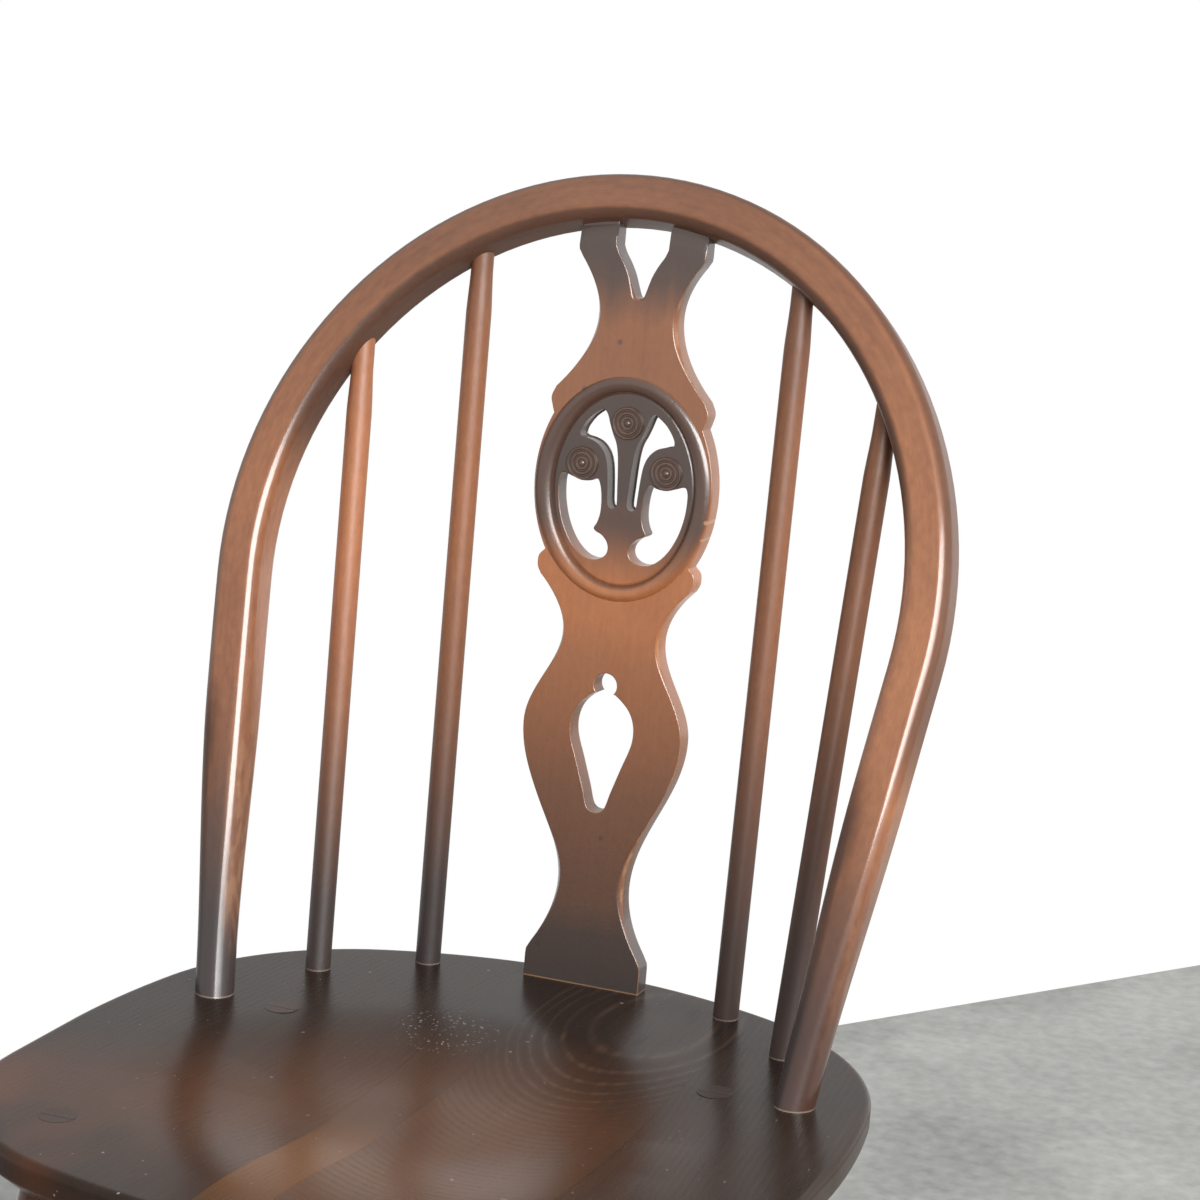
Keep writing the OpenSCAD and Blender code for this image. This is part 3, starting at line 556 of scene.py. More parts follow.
@dataclass(frozen=True)
class Stone:
    """The floor's pale stone, with clouds, a fine mottle, and painted light that grows towards the back.

    Attributes:
        grey: its middle tone.
        darkest: the share of that tone in its darkest spots, for each colour.
        palest: the share of that tone in its palest spots, for each colour.
    """

    name: str = "pale_stone"
    grey: float = 0.52
    darkest: Colour = (0.60, 0.61, 0.58)
    palest: Colour = (1.50, 1.51, 1.44)

    def material(self) -> bpy.types.Material:
        """Builds the material.

        Returns:
            The material.
        """
        g = Graph.of_material(self.name)
        where = g.whole_place()
        cloud = g.noise(where, (5.0, 5.0, 5.0), 6.0, 0.6)
        speck = g.noise(where, (70.0, 70.0, 70.0), 4.0)
        _, y, _ = g.place()
        # Painted light: the floor grows lighter towards the back
        tone = 0.39 + y * 0.17 + (cloud - 0.5) * 1.25 + (speck - 0.5) * 0.8
        dark, pale = (tuple(self.grey * share for share in tones) for tones in (self.darkest, self.palest))
        return g.surface({"Base Color": g.blend(tone, dark, pale), "Roughness": 0.7})


class Slot(Enum):
    """The record's finishes."""

    SEAT = "seat_wood"
    BOW = "bow_wood"
    SPLAT = "splat_wood"
    SPINDLE = "spindle_wood"
    LEG = "leg_wood"
    WEDGE = "wedge_wood"


class Side(Enum):
    """The two sides of the chair."""

    LEFT = -1
    RIGHT = 1

    @property
    def word(self) -> str:
        """The side's name in the names of the nodes."""
        return self.name.lower()


class Blank:
    """A piece of wood being shaped: a mesh whose points know their place in the timber."""

    def __init__(self, offset: float) -> None:
        """Starts an empty mesh, cut so many metres along the timber.

        Args:
            offset: how far along the timber the piece was cut, in metres.
        """
        self.bm: BMesh = bmesh.new()
        self.layer = self.bm.verts.layers.float_vector.new(TIMBER)
        self.wear_and_painted_light = self.bm.verts.layers.float.new(WEAR_AND_PAINTED_LIGHT)
        self.offset = Vector((offset * 0.13, offset * 0.07, offset))

    def mark(self, ring: Sequence[BMVert], places: Sequence[Vector], grain: Sequence[Vector]) -> None:
        """Moves a ring's points to their places and notes where each lies in the timber.

        Args:
            ring: the points.
            places: their places, in metres.
            grain: their places in the timber, in millimetres.
        """
        for vert, place, where in zip(ring, places, grain):
            vert.co = place
            vert[self.layer] = where * MM + self.offset

    def ring(self, places: Sequence[Vector], grain: Sequence[Vector]) -> Ring:
        """Starts a closed ring of points.

        Args:
            places: the points' places, in metres.
            grain: their places in the timber, in millimetres.

        Returns:
            The ring.
        """
        made = bmesh.ops.create_circle(self.bm, cap_ends=False, segments=len(places), radius=1.0)["verts"]
        ring = list(made)
        self.mark(ring, places, grain)
        return ring

    def edges(self, ring: Sequence[BMVert]) -> list[BMEdge]:
        """The edges that join a ring's points."""
        return [self.bm.edges.get((v, ring[i - 1])) for i, v in enumerate(ring)]

    def grow(self, ring: Sequence[BMVert], places: Sequence[Vector], grain: Sequence[Vector]) -> Ring:
        """Extrudes a ring to new places.

        Args:
            ring: the ring that it grows from.
            places: the points' places, in metres.
            grain: their places in the timber, in millimetres.

        Returns:
            The new ring, in the same order.
        """
        made = bmesh.ops.extrude_edge_only(self.bm, edges=self.edges(ring))["geom"]
        fresh = {v for v in made if isinstance(v, BMVert)}
        follow = [next(e.other_vert(v) for e in v.link_edges if e.other_vert(v) in fresh) for v in ring]
        self.mark(follow, places, grain)
        return follow

    def wear(self, ring: Sequence[BMVert], shares: Sequence[float]) -> None:
        """Notes each point's wear and painted light, or its painted shade where below 0."""
        for vert, share in zip(ring, shares):
            vert[self.wear_and_painted_light] = share

    def cap(self, ring: Sequence[BMVert]) -> None:
        """Closes a ring with one face."""
        bmesh.ops.contextual_create(self.bm, geom=self.edges(ring))

    def fill(self, *rings: Sequence[BMVert]) -> None:
        """Fills the flat sheet between an outline and the holes in it."""
        edges = [edge for ring in rings for edge in self.edges(ring)]
        bmesh.ops.triangle_fill(self.bm, use_beauty=True, use_dissolve=False, edges=edges)

    def loft(self, sections: Sequence[Sequence[Vector]], grain: Sequence[Sequence[Vector]],
             wear_and_painted_light: Sequence[Sequence[float]] = ()) -> None:
        """Adds a closed body through sections of equally many points.

        Args:
            sections: the places of each section's points, in metres.
            grain: their places in the timber, in millimetres.
            wear_and_painted_light: their wear and painted light, or painted shade below 0, if they carry any.
        """
        ring = self.ring(sections[0], grain[0])
        self.cap(ring)
        for number, (places, where) in enumerate(zip(sections[1:], grain[1:]), 1):
            ring = self.grow(ring, places, where)
            if wear_and_painted_light:
                self.wear(ring, wear_and_painted_light[number])
        self.cap(ring)

    def cut(self, height: float, keep_above: bool) -> None:
        """Cuts the body level and closes it.

        Args:
            height: the cut's height above the floor, in metres.
            keep_above: whether the part above the cut stays.
        """
        geometry = [*self.bm.verts, *self.bm.edges, *self.bm.faces]
        made = bmesh.ops.bisect_plane(self.bm, geom=geometry, plane_co=(0, 0, height), plane_no=(0, 0, 1),
                                      clear_inner=keep_above, clear_outer=not keep_above)
        rim = [e for e in made["geom_cut"] if isinstance(e, BMEdge)]
        bmesh.ops.contextual_create(self.bm, geom=rim)

    def finish(self, name: str, node: str, finish: bpy.types.Material, slot: Slot,
               sharp: float = 38.0) -> bpy.types.Object:
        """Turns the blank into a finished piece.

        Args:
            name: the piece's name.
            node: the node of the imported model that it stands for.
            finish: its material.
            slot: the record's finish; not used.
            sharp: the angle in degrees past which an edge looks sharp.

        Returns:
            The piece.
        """
        bmesh.ops.recalc_face_normals(self.bm, faces=self.bm.faces)
        mesh = bpy.data.meshes.new(name)
        self.bm.to_mesh(mesh)
        self.bm.free()
        mesh.polygons.foreach_set("use_smooth", [True] * len(mesh.polygons))
        mesh.set_sharp_from_angle(angle=math.radians(sharp))
        mesh.materials.append(finish)
        piece = bpy.data.objects.new(name, mesh)
        bpy.context.scene.collection.objects.link(piece)
        even = piece.modifiers.new("even_shading", "WEIGHTED_NORMAL")
        even.keep_sharp = True
        even.weight = 50
        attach(piece, "root")
        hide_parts(node)
        log.info("%s stands for %s, %d faces", name, node, len(mesh.polygons))
        return piece


def rounded(half_w: float, half_d: float, radius: float, steps: int = 7) -> list[Row]:
    """Draws a rounded rectangle, which is a circle where all three sizes are equal.

    Args:
        half_w: half its width.
        half_d: half its depth.
        radius: its corners' radius.
        steps: how many points a corner has.

    Returns:
        Its points.
    """
    made = []
    for quarter in range(4):
        turn = math.radians(45 + 90 * quarter)
        for k in range(steps):
            a = math.radians(90 * quarter + 90 / steps * (k + 0.5))
            made.append(((half_w - radius) * math.copysign(1, math.cos(turn)) + radius * math.cos(a),
                         (half_d - radius) * math.copysign(1, math.sin(turn)) + radius * math.sin(a)))
    return made


def rod_sections(start: Vector, end: Vector, rows: Sequence[Row],
                 steps: int = 32) -> tuple[list[list[Vector]], list[list[Vector]]]:
    """Round sections along a straight axis.

    Args:
        start: the axis's start, in millimetres on the chair.
        end: its end.
        rows: distance along the axis and radius, in millimetres.
        steps: how many points a section has.

    Returns:
        The sections' points in metres and their places in the timber in millimetres.
    """
    axis = (end - start).normalized()
    side = axis.orthogonal().normalized()
    other = axis.cross(side)
    turns = [2 * math.pi * k / steps for k in range(steps)]
    sections, grain = [], []
    for way, radius in rows:
        middle = start + axis * way
        sections.append([spot(*(middle + side * (radius * math.cos(a)) + other * (radius * math.sin(a))))
                         for a in turns])
        grain.append([Vector((radius * math.cos(a), radius * math.sin(a), way)) for a in turns])
    return sections, grain


@dataclass
class Bow:
    """The bent bow: round feet that pass through the seat, and a rounded square arch."""

    half_w: float = 196.2
    rise: float = 196.5
    waist_z: float = 244.1
    draw_in: float = 6.8
    foot_front: float = 118.8
    lean_foot: float = 13.9
    lean_top: float = 24.1
    face: float = 25.6
    deep: float = 28.0
    arris: float = 7.5
    foot_d: float = 21.6
    full_z: float = 160.0
    collar: float = 12.0
    foot_rows: tuple = (60.0, 40.0, 24.0, 12.0, 5.0)
    limb_steps: int = 20
    arch_steps: int = 36
    # How much painted light the right-facing low side of each limb gets
    painted_light_left: float = 0.6
    painted_light_right: float = 0.25
    finish: Beech = field(default_factory=lambda: Beech(
        "bow_beech", light=(0.51, 0.207, 0.090), deep=(0.28, 0.104, 0.049),
        shading=((430.0, 0.96), (470.0, 0.96), (490.0, 0.88), (510.0, 0.78), (530.0, 0.68), (550.0, 0.46),
                 (580.0, 0.16), (610.0, 0.0), (720.0, 0.0), (800.0, 0.14), (850.0, 0.30), (884.0, 0.40)),
        shaded=(0.040, 0.034, 0.034), shaded_right=(0.062, 0.029, 0.022), rough=0.34, coat=0.85, sheen=0.18,
        foot_ring=0.5, outside=0.74, still=1.0))

    def __post_init__(self) -> None:
        """Works out the values that follow from the sizes."""
        turn = math.radians(self.draw_in)
        top = self.waist_z + self.rise
        at_top, at_foot = (math.tan(math.radians(lean)) for lean in (self.lean_top, self.lean_foot))
        self.curl = (at_top - at_foot) / (2 * top)
        self.slope = self.half_w / self.rise * math.tan(turn)
        self.limb_top = self.waist_z - self.rise * math.sin(turn)
        self.foot_x = self.half_w * math.cos(turn) - self.slope * self.limb_top

    def back_at(self, z: float) -> float:
        """How far behind the splat's face the middle of the bow is at a height."""
        return -self.foot_front + math.tan(math.radians(self.lean_foot)) * z + self.curl * z * z

    def lean_at(self, z: float) -> float:
        """The slope of the bow's lean at a height."""
        return math.tan(math.radians(self.lean_foot)) + 2 * self.curl * z

    def arch(self, turn: float) -> Row:
        """Place across and height on the arch, turned so many degrees up from its widest place."""
        a = math.radians(turn)
        return self.half_w * math.cos(a), self.waist_z + self.rise * math.sin(a)

    def middle(self, turn: float) -> Vector:
        """A point on the middle of the arch."""
        x, z = self.arch(turn)
        return Vector((x, self.back_at(z), z))

    def foot(self) -> tuple[Vector, Vector]:
        """Works out where the right foot begins.

        Returns:
            The point, and the direction of the foot's axis.
        """
        x = self.foot_x + self.slope * self.collar
        way = Vector((self.slope, self.lean_at(self.collar), 1.0)).normalized()
        return Vector((x, self.back_at(self.collar), self.collar)), way

    def under(self, x: float) -> float:
        """Works out how high the arch's underside is.

        Args:
            x: the place across.

        Returns:
            The height above the seat.
        """
        lean = math.radians(self.lean_top)
        across, along = self.face / 2 - self.arris, self.deep / 2 - self.arris
        drop = self.arris + across * math.cos(lean) + along * math.sin(lean)
        return self.waist_z + self.rise * math.sqrt(1 - (x / self.half_w) ** 2) - drop

    def stations(self) -> list[tuple[Vector, Vector, float]]:
        """Places the sections, from the right foot over the arch to the left one.

        Returns:
            The middle, the direction and the height above the seat of each section.
        """
        at, way = self.foot()
        right = []
        for drop in self.foot_rows:
            right.append((at - way * drop, way, 0.0))
        for z in (mix(self.collar, self.limb_top, k / self.limb_steps) for k in range(self.limb_steps)):
            right.append((Vector((self.foot_x + self.slope * z, self.back_at(z), z)),
                          Vector((self.slope, self.lean_at(z), 1.0)).normalized(), z))
        for k in range(self.arch_steps + 1):
            turn = mix(-self.draw_in, 90.0, k / self.arch_steps)
            a = math.radians(turn)
            x, z = self.arch(turn)
            up = self.rise * math.cos(a)
            right.append((Vector((x, self.back_at(z), z)),
                          Vector((-self.half_w * math.sin(a), up * self.lean_at(z), up)).normalized(), z))
        left = [(Vector((-m.x, m.y, m.z)), Vector((w.x, -w.y, -w.z)), z) for m, w, z in reversed(right[:-1])]
        return right + left

    def painted_light_and_stain_at(self, a: float, z: float, side: Side) -> float:
        """Says how much painted light or painted shade the bow's points carry, and where its outer edge is
        darker.

        Low on each limb, the side that faces right gets painted light, with bare-looking patches, and the
        other side painted shade.
        Higher up, the face inside the arch gets painted shade, and the outer edge is darker, partly by stain
        and partly by painted shade.

        Args:
            a: how far towards the inside of the arch, in millimetres from the section's middle.
            z: the height above the seat.
            side: the limb.

        Returns:
            From 1, the most painted light, to -1, the darkest painted shade.
        """
        facing_right = -a * side.value
        # Painted light on the right-facing side low on each limb, painted shade on the other side
        wear_and_painted_light_share = self.painted_light_right if side is Side.RIGHT else self.painted_light_left
        wear_and_painted_light_share *= ease((170.0 - z) / 60.0) * ease((z - 10.0) / 50.0)
        unlit = ease((190.0 - z) / 60.0)
        # Painted shade inside the arch, and a darker outer edge, partly stain and partly painted shade
        inner, outer = ease((z - 250.0) / 80.0), 0.8 * ease((z - 120.0) / 80.0)
        if side is Side.LEFT:
            outer *= 1 - unlit
        return (wear_and_painted_light_share * ease((facing_right - 4.0) / 5.0) - unlit * ease((-facing_right - 2.0) / 5.0)
                - inner * ease((a - 5.0) / 5.0) - outer * ease((-6.5 - a) / 4.5))

    def build(self) -> bpy.types.Object:
        """Bends the bow.

        Returns:
            The bow.
        """
        blank = Blank(0.4)
        sections, grain, wear_and_painted_light = [], [], []
        way_along, last = 0.0, None
        for middle, way, z in self.stations():
            lean = self.lean_at(max(z, self.collar))
            back = Vector((0.0, 1.0, -lean)).normalized()
            inward = way.cross(back)
            grow = ease((z - self.collar) / (self.full_z - self.collar))
            foot = self.foot_d / 2
            outline = rounded(mix(foot, self.face / 2, grow), mix(foot, self.deep / 2, grow),
                              mix(foot, self.arris, grow))
            way_along += (middle - last).length if last else 0.0
            last = middle
            sections.append([spot(*(middle + inward * a + back * b)) for a, b in outline])
            grain.append([Vector((a, b, way_along)) for a, b in outline])
            side = Side.RIGHT if middle.x > 0 else Side.LEFT
            # Each point's painted light or shade, and the darker stain of the outer edge
            wear_and_painted_light.append([self.painted_light_and_stain_at(a, z, side) for a, _ in outline])
        blank.loft(sections, grain, wear_and_painted_light)
        blank.cut((SEAT_TOP - SEAT_THICK - 0.12) * MM, True)
        return blank.finish("bent_bow", "bow", self.finish.material(), Slot.BOW)


def bend(w0: float, z0: float, w1: float, z1: float, steps: int) -> list[Row]:
    """A half width that grows with the square of the height away from a waist."""
    return [(mix(w1, w0, 1 - (k / steps) ** 2), mix(z0, z1, k / steps)) for k in range(steps)]


def curve(w0: float, z0: float, w1: float, z1: float, steps: int) -> list[Row]:
    """A half width that swings smoothly from one value to the other."""
    return [(mix(w0, w1, (1 - math.cos(math.pi * k / steps)) / 2), mix(z0, z1, k / steps))
            for k in range(steps)]


@dataclass
class Splat:
    """The pierced splat: waists with stopped bevels, a keyhole, and an oval ring with three bosses."""

    bow: Bow
    thick: float = 13.0
    lean: float = 3.19247
    foot_w: float = 70.0
    foot_h: float = 15.0
    waist_low: Row = (40.4, 57.0)
    belly: Row = (95.0, 146.0)
    waist_mid: Row = (58.0, 200.5)
    shoulder_w: float = 93.6
    oval: Row = (105.4, 126.0)
    oval_z: float = 283.5
    waist_top: Row = (46.8, 380.0)
    prong_w: float = 74.6
    fork_w: float = 30.2
    fork_z: float = 389.3
    prong_shoulder: float = 421.024
    prong_top: float = 436.024
    prong_rise: float = 3.0
    notches: Row = (-38.5, 38.0)
    step_in: Row = (5.5, 4.5)
    ring_inner: Row = (41.9, 53.9)
    proud: float = 2.0
    sink: float = 1.5
    arris: float = 0.7
    bevels: tuple = ((64.0, 41.0, 3.4, 4.5), (198.0, 28.0, 1.9, 2.6), (374.0, 33.0, 2.5, 3.4))
    crown: Row = (7.6, 2.6)
    boss_places: tuple = ((-25.0, 12.0), (0.0, 37.0), (25.0, 12.0))
    boss_rows: tuple = ((9.1, -2.5), (9.1, -0.2), (8.7, 0.4), (8.0, 0.4), (7.4, -0.4), (6.8, -0.4),
                        (6.2, 0.55), (5.3, 0.55), (4.7, -0.3), (4.1, -0.3), (3.5, 0.6), (2.7, 0.6),
                        (2.1, -0.25), (1.6, -0.2), (1.1, 0.6), (0.5, 0.75))
    finish: Beech = field(default_factory=lambda: Beech(
        "splat_beech", light=(0.61, 0.228, 0.088), deep=(0.45, 0.161, 0.061),
        shading=((430.0, 0.97), (458.0, 0.94), (475.0, 0.82), (506.0, 0.73), (540.0, 0.65), (566.0, 0.50),
                 (592.0, 0.36), (616.0, 0.26), (638.0, 0.03), (668.0, 0.0), (700.0, 0.14), (730.0, 0.36),
                 (768.0, 0.42), (804.0, 0.42), (816.0, 0.68), (828.0, 0.88), (843.0, 0.93),
                 (870.0, 0.93)),
        ring_tone=(0.60, 0.32, 0.16), foot_ring=0.45,
        pools=((713.5, 53.4, 63.8, 655.0, 698.0, 0.86), (713.5, 42.5, 54.0, 678.0, 712.0, 0.93)),
        chips=((51.0, 701.0, 1.6), (49.3, 691.0, 1.2)),
        dents=((-27.0, 766.0, 2.2), (-8.5, 794.0, 2.0), (5.0, 516.0, 1.8), (-27.5, 449.0, 2.0)),
        outside=0.6, wear_and_painted_light_share=0.25, still=0.8))

    def __post_init__(self) -> None:
        """Works out how far out the sunk field inside the ring lies."""
        self.field_out = self.thick - self.sink

    def at(self, x: float, up: float, out: float) -> Vector:
        """Takes a point of the splat to its place on the chair.

        Args:
            x: its place across.
            up: its height along the splat.
            out: its distance out from the back.

        Returns:
            The place, in metres.
        """
        a = math.radians(self.lean)
        y = self.thick - out
        return spot(x, y * math.cos(a) + up * math.sin(a), up * math.cos(a) - y * math.sin(a))

    def side_at(self, z: float) -> float:
        """Half width of the silhouette beside the oval."""
        tall = self.oval[1] / 2 + 5
        return self.oval[0] / 2 * math.sqrt(1 - ((z - self.oval_z - 1) / tall) ** 2)

    def half(self) -> list[Row]:
        """Draws the right-hand outline, from the foot up to the prong.

        Returns:
            Its points.
        """
        shoulder = self.shoulder_w / 2
        foot = self.foot_w / 2
        low, mid, top = self.waist_low, self.waist_mid, self.waist_top
        notch_low, notch_high = (self.oval_z + notch for notch in self.notches)
        return [
            (foot, -3.0), (foot, 0.0), (foot, self.foot_h / 2), (foot, self.foot_h - 2),
            (foot - 0.3, self.foot_h + 1),
            *reversed(bend(low[0] / 2, low[1], foot - 1, self.foot_h + 3, 14)),
            *curve(low[0] / 2, low[1], self.belly[0] / 2, self.belly[1], 26),
            *curve(self.belly[0] / 2, self.belly[1], mid[0] / 2, mid[1], 18),
            *bend(mid[0] / 2, mid[1], shoulder - 2.2, notch_low - 14, 12),
            *flow([(shoulder - 2.2, notch_low - 14), (shoulder - 0.4, notch_low - 10.5),
                   (shoulder, notch_low - 7), (shoulder - 0.7, notch_low - 3.5),
                   (self.side_at(notch_low), notch_low)], False, 4),
            *[(self.side_at(z), z) for z in (mix(notch_low, notch_high, k / 30) for k in range(1, 30))],
            *flow([(self.side_at(notch_high), notch_high), (shoulder - 1.4, notch_high + 3.5),
                   (shoulder - 0.3, notch_high + 9), (shoulder - 2.7, notch_high + 15)], False, 4),
            *reversed(bend(top[0] / 2, top[1], shoulder - 2.7, notch_high + 15, 16)),
            *bend(top[0] / 2, top[1], self.prong_w / 2 - 1.2, top[1] + 31, 16)[1:],
            (self.prong_w / 2 - 0.3, top[1] + 33), (self.prong_w / 2, top[1] + 35.5),
            *[(x, self.bow.under(x) / math.cos(math.radians(self.lean)) + self.prong_rise)
              for x in (mix(self.prong_w / 2, self.fork_w / 2, k / 8) for k in range(9))]]

    def outline(self) -> list[Row]:
        """Draws the whole silhouette, with the fork between the prongs.

        Returns:
            Its points.
        """
        half = self.half()
        z = self.fork_z
        fork = flow([(0.0, z), (2.0, z + 0.5), (3.0, z + 2), (4.7, z + 6.7), (6.9, z + 12.7),
                     (10.0, z + 18.7), (self.fork_w / 2 - 1.7, z + 24), (self.fork_w / 2, z + 28)], False, 4)
        return [*half, *reversed(fork), *mirrored(fork)[::-1][1:], *mirrored(half)]

    def keyhole(self) -> list[Row]:
        """Draws the keyhole in the belly: a drop with a round knob at its top.

        Returns:
            Its points.
        """
        drop = flow([(0.0, -45.6), (2.5, -45.2), (4.8, -43.4), (6.3, -40.0), (8.0, -34.0), (10.7, -26.0),
                     (14.0, -16.5), (16.8, -9.0), (18.5, -2.5), (18.7, 4.0), (17.3, 10.0), (14.5, 15.0),
                     (10.2, 19.3), (6.2, 22.3)], False, 4)
        knob = [(6.8 * math.cos(math.radians(a)), 27 + 6.8 * math.sin(math.radians(a)))
                for a in (mix(-43.7, 223.7, k / 24) for k in range(25))]
        ring = [*drop, *knob, *mirrored(drop)[:-1]]
        return [(x, z + self.belly[1]) for x, z in ring]

    def openings(self) -> list[list[Row]]:
        """Draws the four openings inside the oval.

        Returns:
            The points of each one.
        """
        upper = [(2.3, -8.5), (2.8, 1.5), (3.4, 11.5), (4.2, 19.5), (5.6, 25.5), (8.0, 30.5), (10.0, 35.5),
                 (12.0, 41.0), (14.7, 43.9), (17.5, 42.8), (23.0, 38.5), (27.2, 32.8), (28.6, 28.8),
                 (27.4, 26.3), (22.0, 25.1), (17.5, 23.1), (13.7, 19.0), (11.5, 13.5), (10.4, 5.5),
                 (9.7, -3.5), (9.3, -8.5), (8.1, -11.2), (5.8, -12.2), (3.3, -10.9)]
        lower = [(14.8, 3.3), (13.2, -1.5), (12.4, -8.5), (12.6, -15.0), (13.9, -20.0), (15.6, -23.3),
                 (14.2, -25.2), (10.5, -26.9), (7.4, -30.2), (6.3, -33.9), (7.3, -37.5), (10.6, -40.1),
                 (15.0, -41.0), (20.3, -39.7), (25.5, -35.9), (30.3, -29.9), (34.6, -21.0), (37.3, -10.5),
                 (38.0, -0.5), (37.1, 4.3), (35.2, 5.3), (30.5, 3.7), (25.2, 2.2), (19.5, 2.7), (16.6, 4.1)]
        made = []
        for keys in (upper, lower):
            ring = [(x, z + self.oval_z) for x, z in flow(keys, True, 5)]
            made += [ring, mirrored(ring)]
        return made

    def bevel_at(self, z: float) -> tuple[float, float, float]:
        """Shapes the front arris, which widens to a bevel at each waist.

        Args:
            z: the height along the splat.

        Returns:
            How far it is drawn in, how deep it is, and how flat.
        """
        inset, depth, flat = self.arris, self.arris, 0.0
        for middle, half, most, deep in self.bevels:
            share = swell((z - middle) / half)
            inset += (most - self.arris) * share
            depth += (deep - self.arris) * share
            flat = max(flat, share)
        return inset, depth, flat

    def arris_at(self, _z: float) -> tuple[float, float, float]:
        """The plain rounded arris, which is the same at every height."""
        return self.arris, self.arris, 0.0

    @staticmethod
    def inwards(ring: Sequence[Row]) -> list[Row]:
        """Finds the direction into the wood at each point of a ring.

        Args:
            ring: the points, with the wood on their left.

        Returns:
            The directions.
        """
        made = []
        for i, _ in enumerate(ring):
            a, b = ring[i - 1], ring[(i + 1) % len(ring)]
            dx, dz = b[0] - a[0], b[1] - a[1]
            size = math.hypot(dx, dz) or 1.0
            made.append((-dz / size, dx / size))
        return made

    def wall(self, blank: Blank, ring: Sequence[Row], face: float,
             bevel: Callable[[float], tuple[float, float, float]],
             dark: float = 0.0) -> tuple[Ring, Ring]:
        """Builds the wall of an outline or an opening, from its front arris to its back one.

        Args:
            blank: the mesh.
            ring: the outline, with the wood on its left.
            face: how far out the front lies.
            bevel: the front arris at a height.
            dark: how much painted shade the wall carries.

        Returns:
            The rings at the front and at the back.
        """
        into = self.inwards(ring)
        steps = 4

        def row(share: float, back: bool) -> tuple[list[Vector], list[Vector]]:
            """Places one ring of the wall.

            Args:
                share: the share of the arris's turn.
                back: whether it is the back's arris.

            Returns:
                The points' places and their places in the timber.
            """
            places, grain = [], []
            for (x, z), (nx, nz) in zip(ring, into):
                inset, depth, flat = (self.arris, self.arris, 0.0) if back else bevel(z)
                a = share * math.pi / 2
                draw = inset * mix(1 - math.sin(a), 1 - share, flat * 0.85)
                drop = depth * mix(1 - math.cos(a), share, flat * 0.85)
                px, pz = x + nx * draw, z + nz * draw
                if z > self.prong_shoulder + 1 and not back:
                    pz, drop = z - self.crown[0] * (1 - share), self.crown[1] * share
                out = drop if back else face - drop
                places.append(self.at(px, pz, out))
                grain.append(Vector((px, out, pz)))
            return places, grain

        shares = [k / steps for k in range(steps + 1)]
        front = now = blank.ring(*row(shares[0], False))
        for share in shares[1:]:
            now = blank.grow(now, *row(share, False))
            blank.wear(now, [1.0 if 0.3 < share < 0.8 and z < self.prong_shoulder else 0.0 for _, z in ring])
        # Painted shade on the wall's points
        blank.wear(now, [-dark] * len(now))
        for share in reversed(shares):
            now = blank.grow(now, *row(share, True))
            blank.wear(now, [-dark] * len(now))
        return front, now

    def oval_ring(self, a: float, b: float, out: float,
                  steps: int = 120) -> tuple[list[Vector], list[Vector]]:
        """Draws an oval round the middle of the ring.

        Args:
            a: half its width.
            b: half its height.
            out: its distance out from the back.
            steps: how many points it has.

        Returns:
            The points' places and their places in the timber.
        """
        turns = [2 * math.pi * k / steps for k in range(steps)]
        flat = [(a * math.cos(t), b * math.sin(t) + self.oval_z) for t in turns]
        return [self.at(x, z, out) for x, z in flat], [Vector((x, out, z)) for x, z in flat]

    def build(self) -> bpy.types.Object:
        """Shapes the board, the raised ring, the bosses and the tenons.

        Returns:
            The splat.
        """
        blank = Blank(1.1)
        edge_front, edge_back = self.wall(blank, self.outline(), self.thick, self.bevel_at)
        # The keyhole's wall carries painted shade
        key_front, key_back = self.wall(blank, self.keyhole()[::-1], self.thick, self.arris_at, 0.9)
        fronts, backs = [], [key_back]
        for ring in self.openings():
            front, back = self.wall(blank, ring[::-1], self.field_out, self.arris_at)
            fronts.append(front)
            backs.append(back)
        step, low = self.sink_field(blank)
        blank.fill(edge_front, key_front, step)
        blank.fill(low, *fronts)
        blank.fill(edge_back, *backs)
        self.raise_ring(blank)
        for x, z in self.boss_places:
            self.turn_boss(blank, x, z + self.oval_z)
        self.cut_tenons(blank)
        return blank.finish("pierced_splat", "splat", self.finish.material(), Slot.SPLAT, 50.0)

    def sink_field(self, blank: Blank) -> tuple[Ring, Ring]:
        """Steps the board's face down to the sunk field inside the ring, past a groove with painted shade in
        it.

        Args:
            blank: the mesh.

        Returns:
            The ring in the board's face, and the one at the edge of the field.
        """
        step_a, step_b = (size / 2 - inset for size, inset in zip(self.oval, self.step_in))
        a, b = self.ring_inner
        top = low = blank.ring(*self.oval_ring(step_a, step_b, self.thick))
        for half_a, half_b, sunk in ((step_a, step_b, 0.9), (a, b, 0.9), (a - 1, b - 1, 0.1),
                                     (a - 1.5, b - 1.5, 0.0)):
            low = blank.grow(low, *self.oval_ring(half_a, half_b, self.field_out - sunk))
            # Painted shade in the groove
            blank.wear(low, [-1.0 if sunk > 0.5 else 0.0] * len(low))
        return top, low

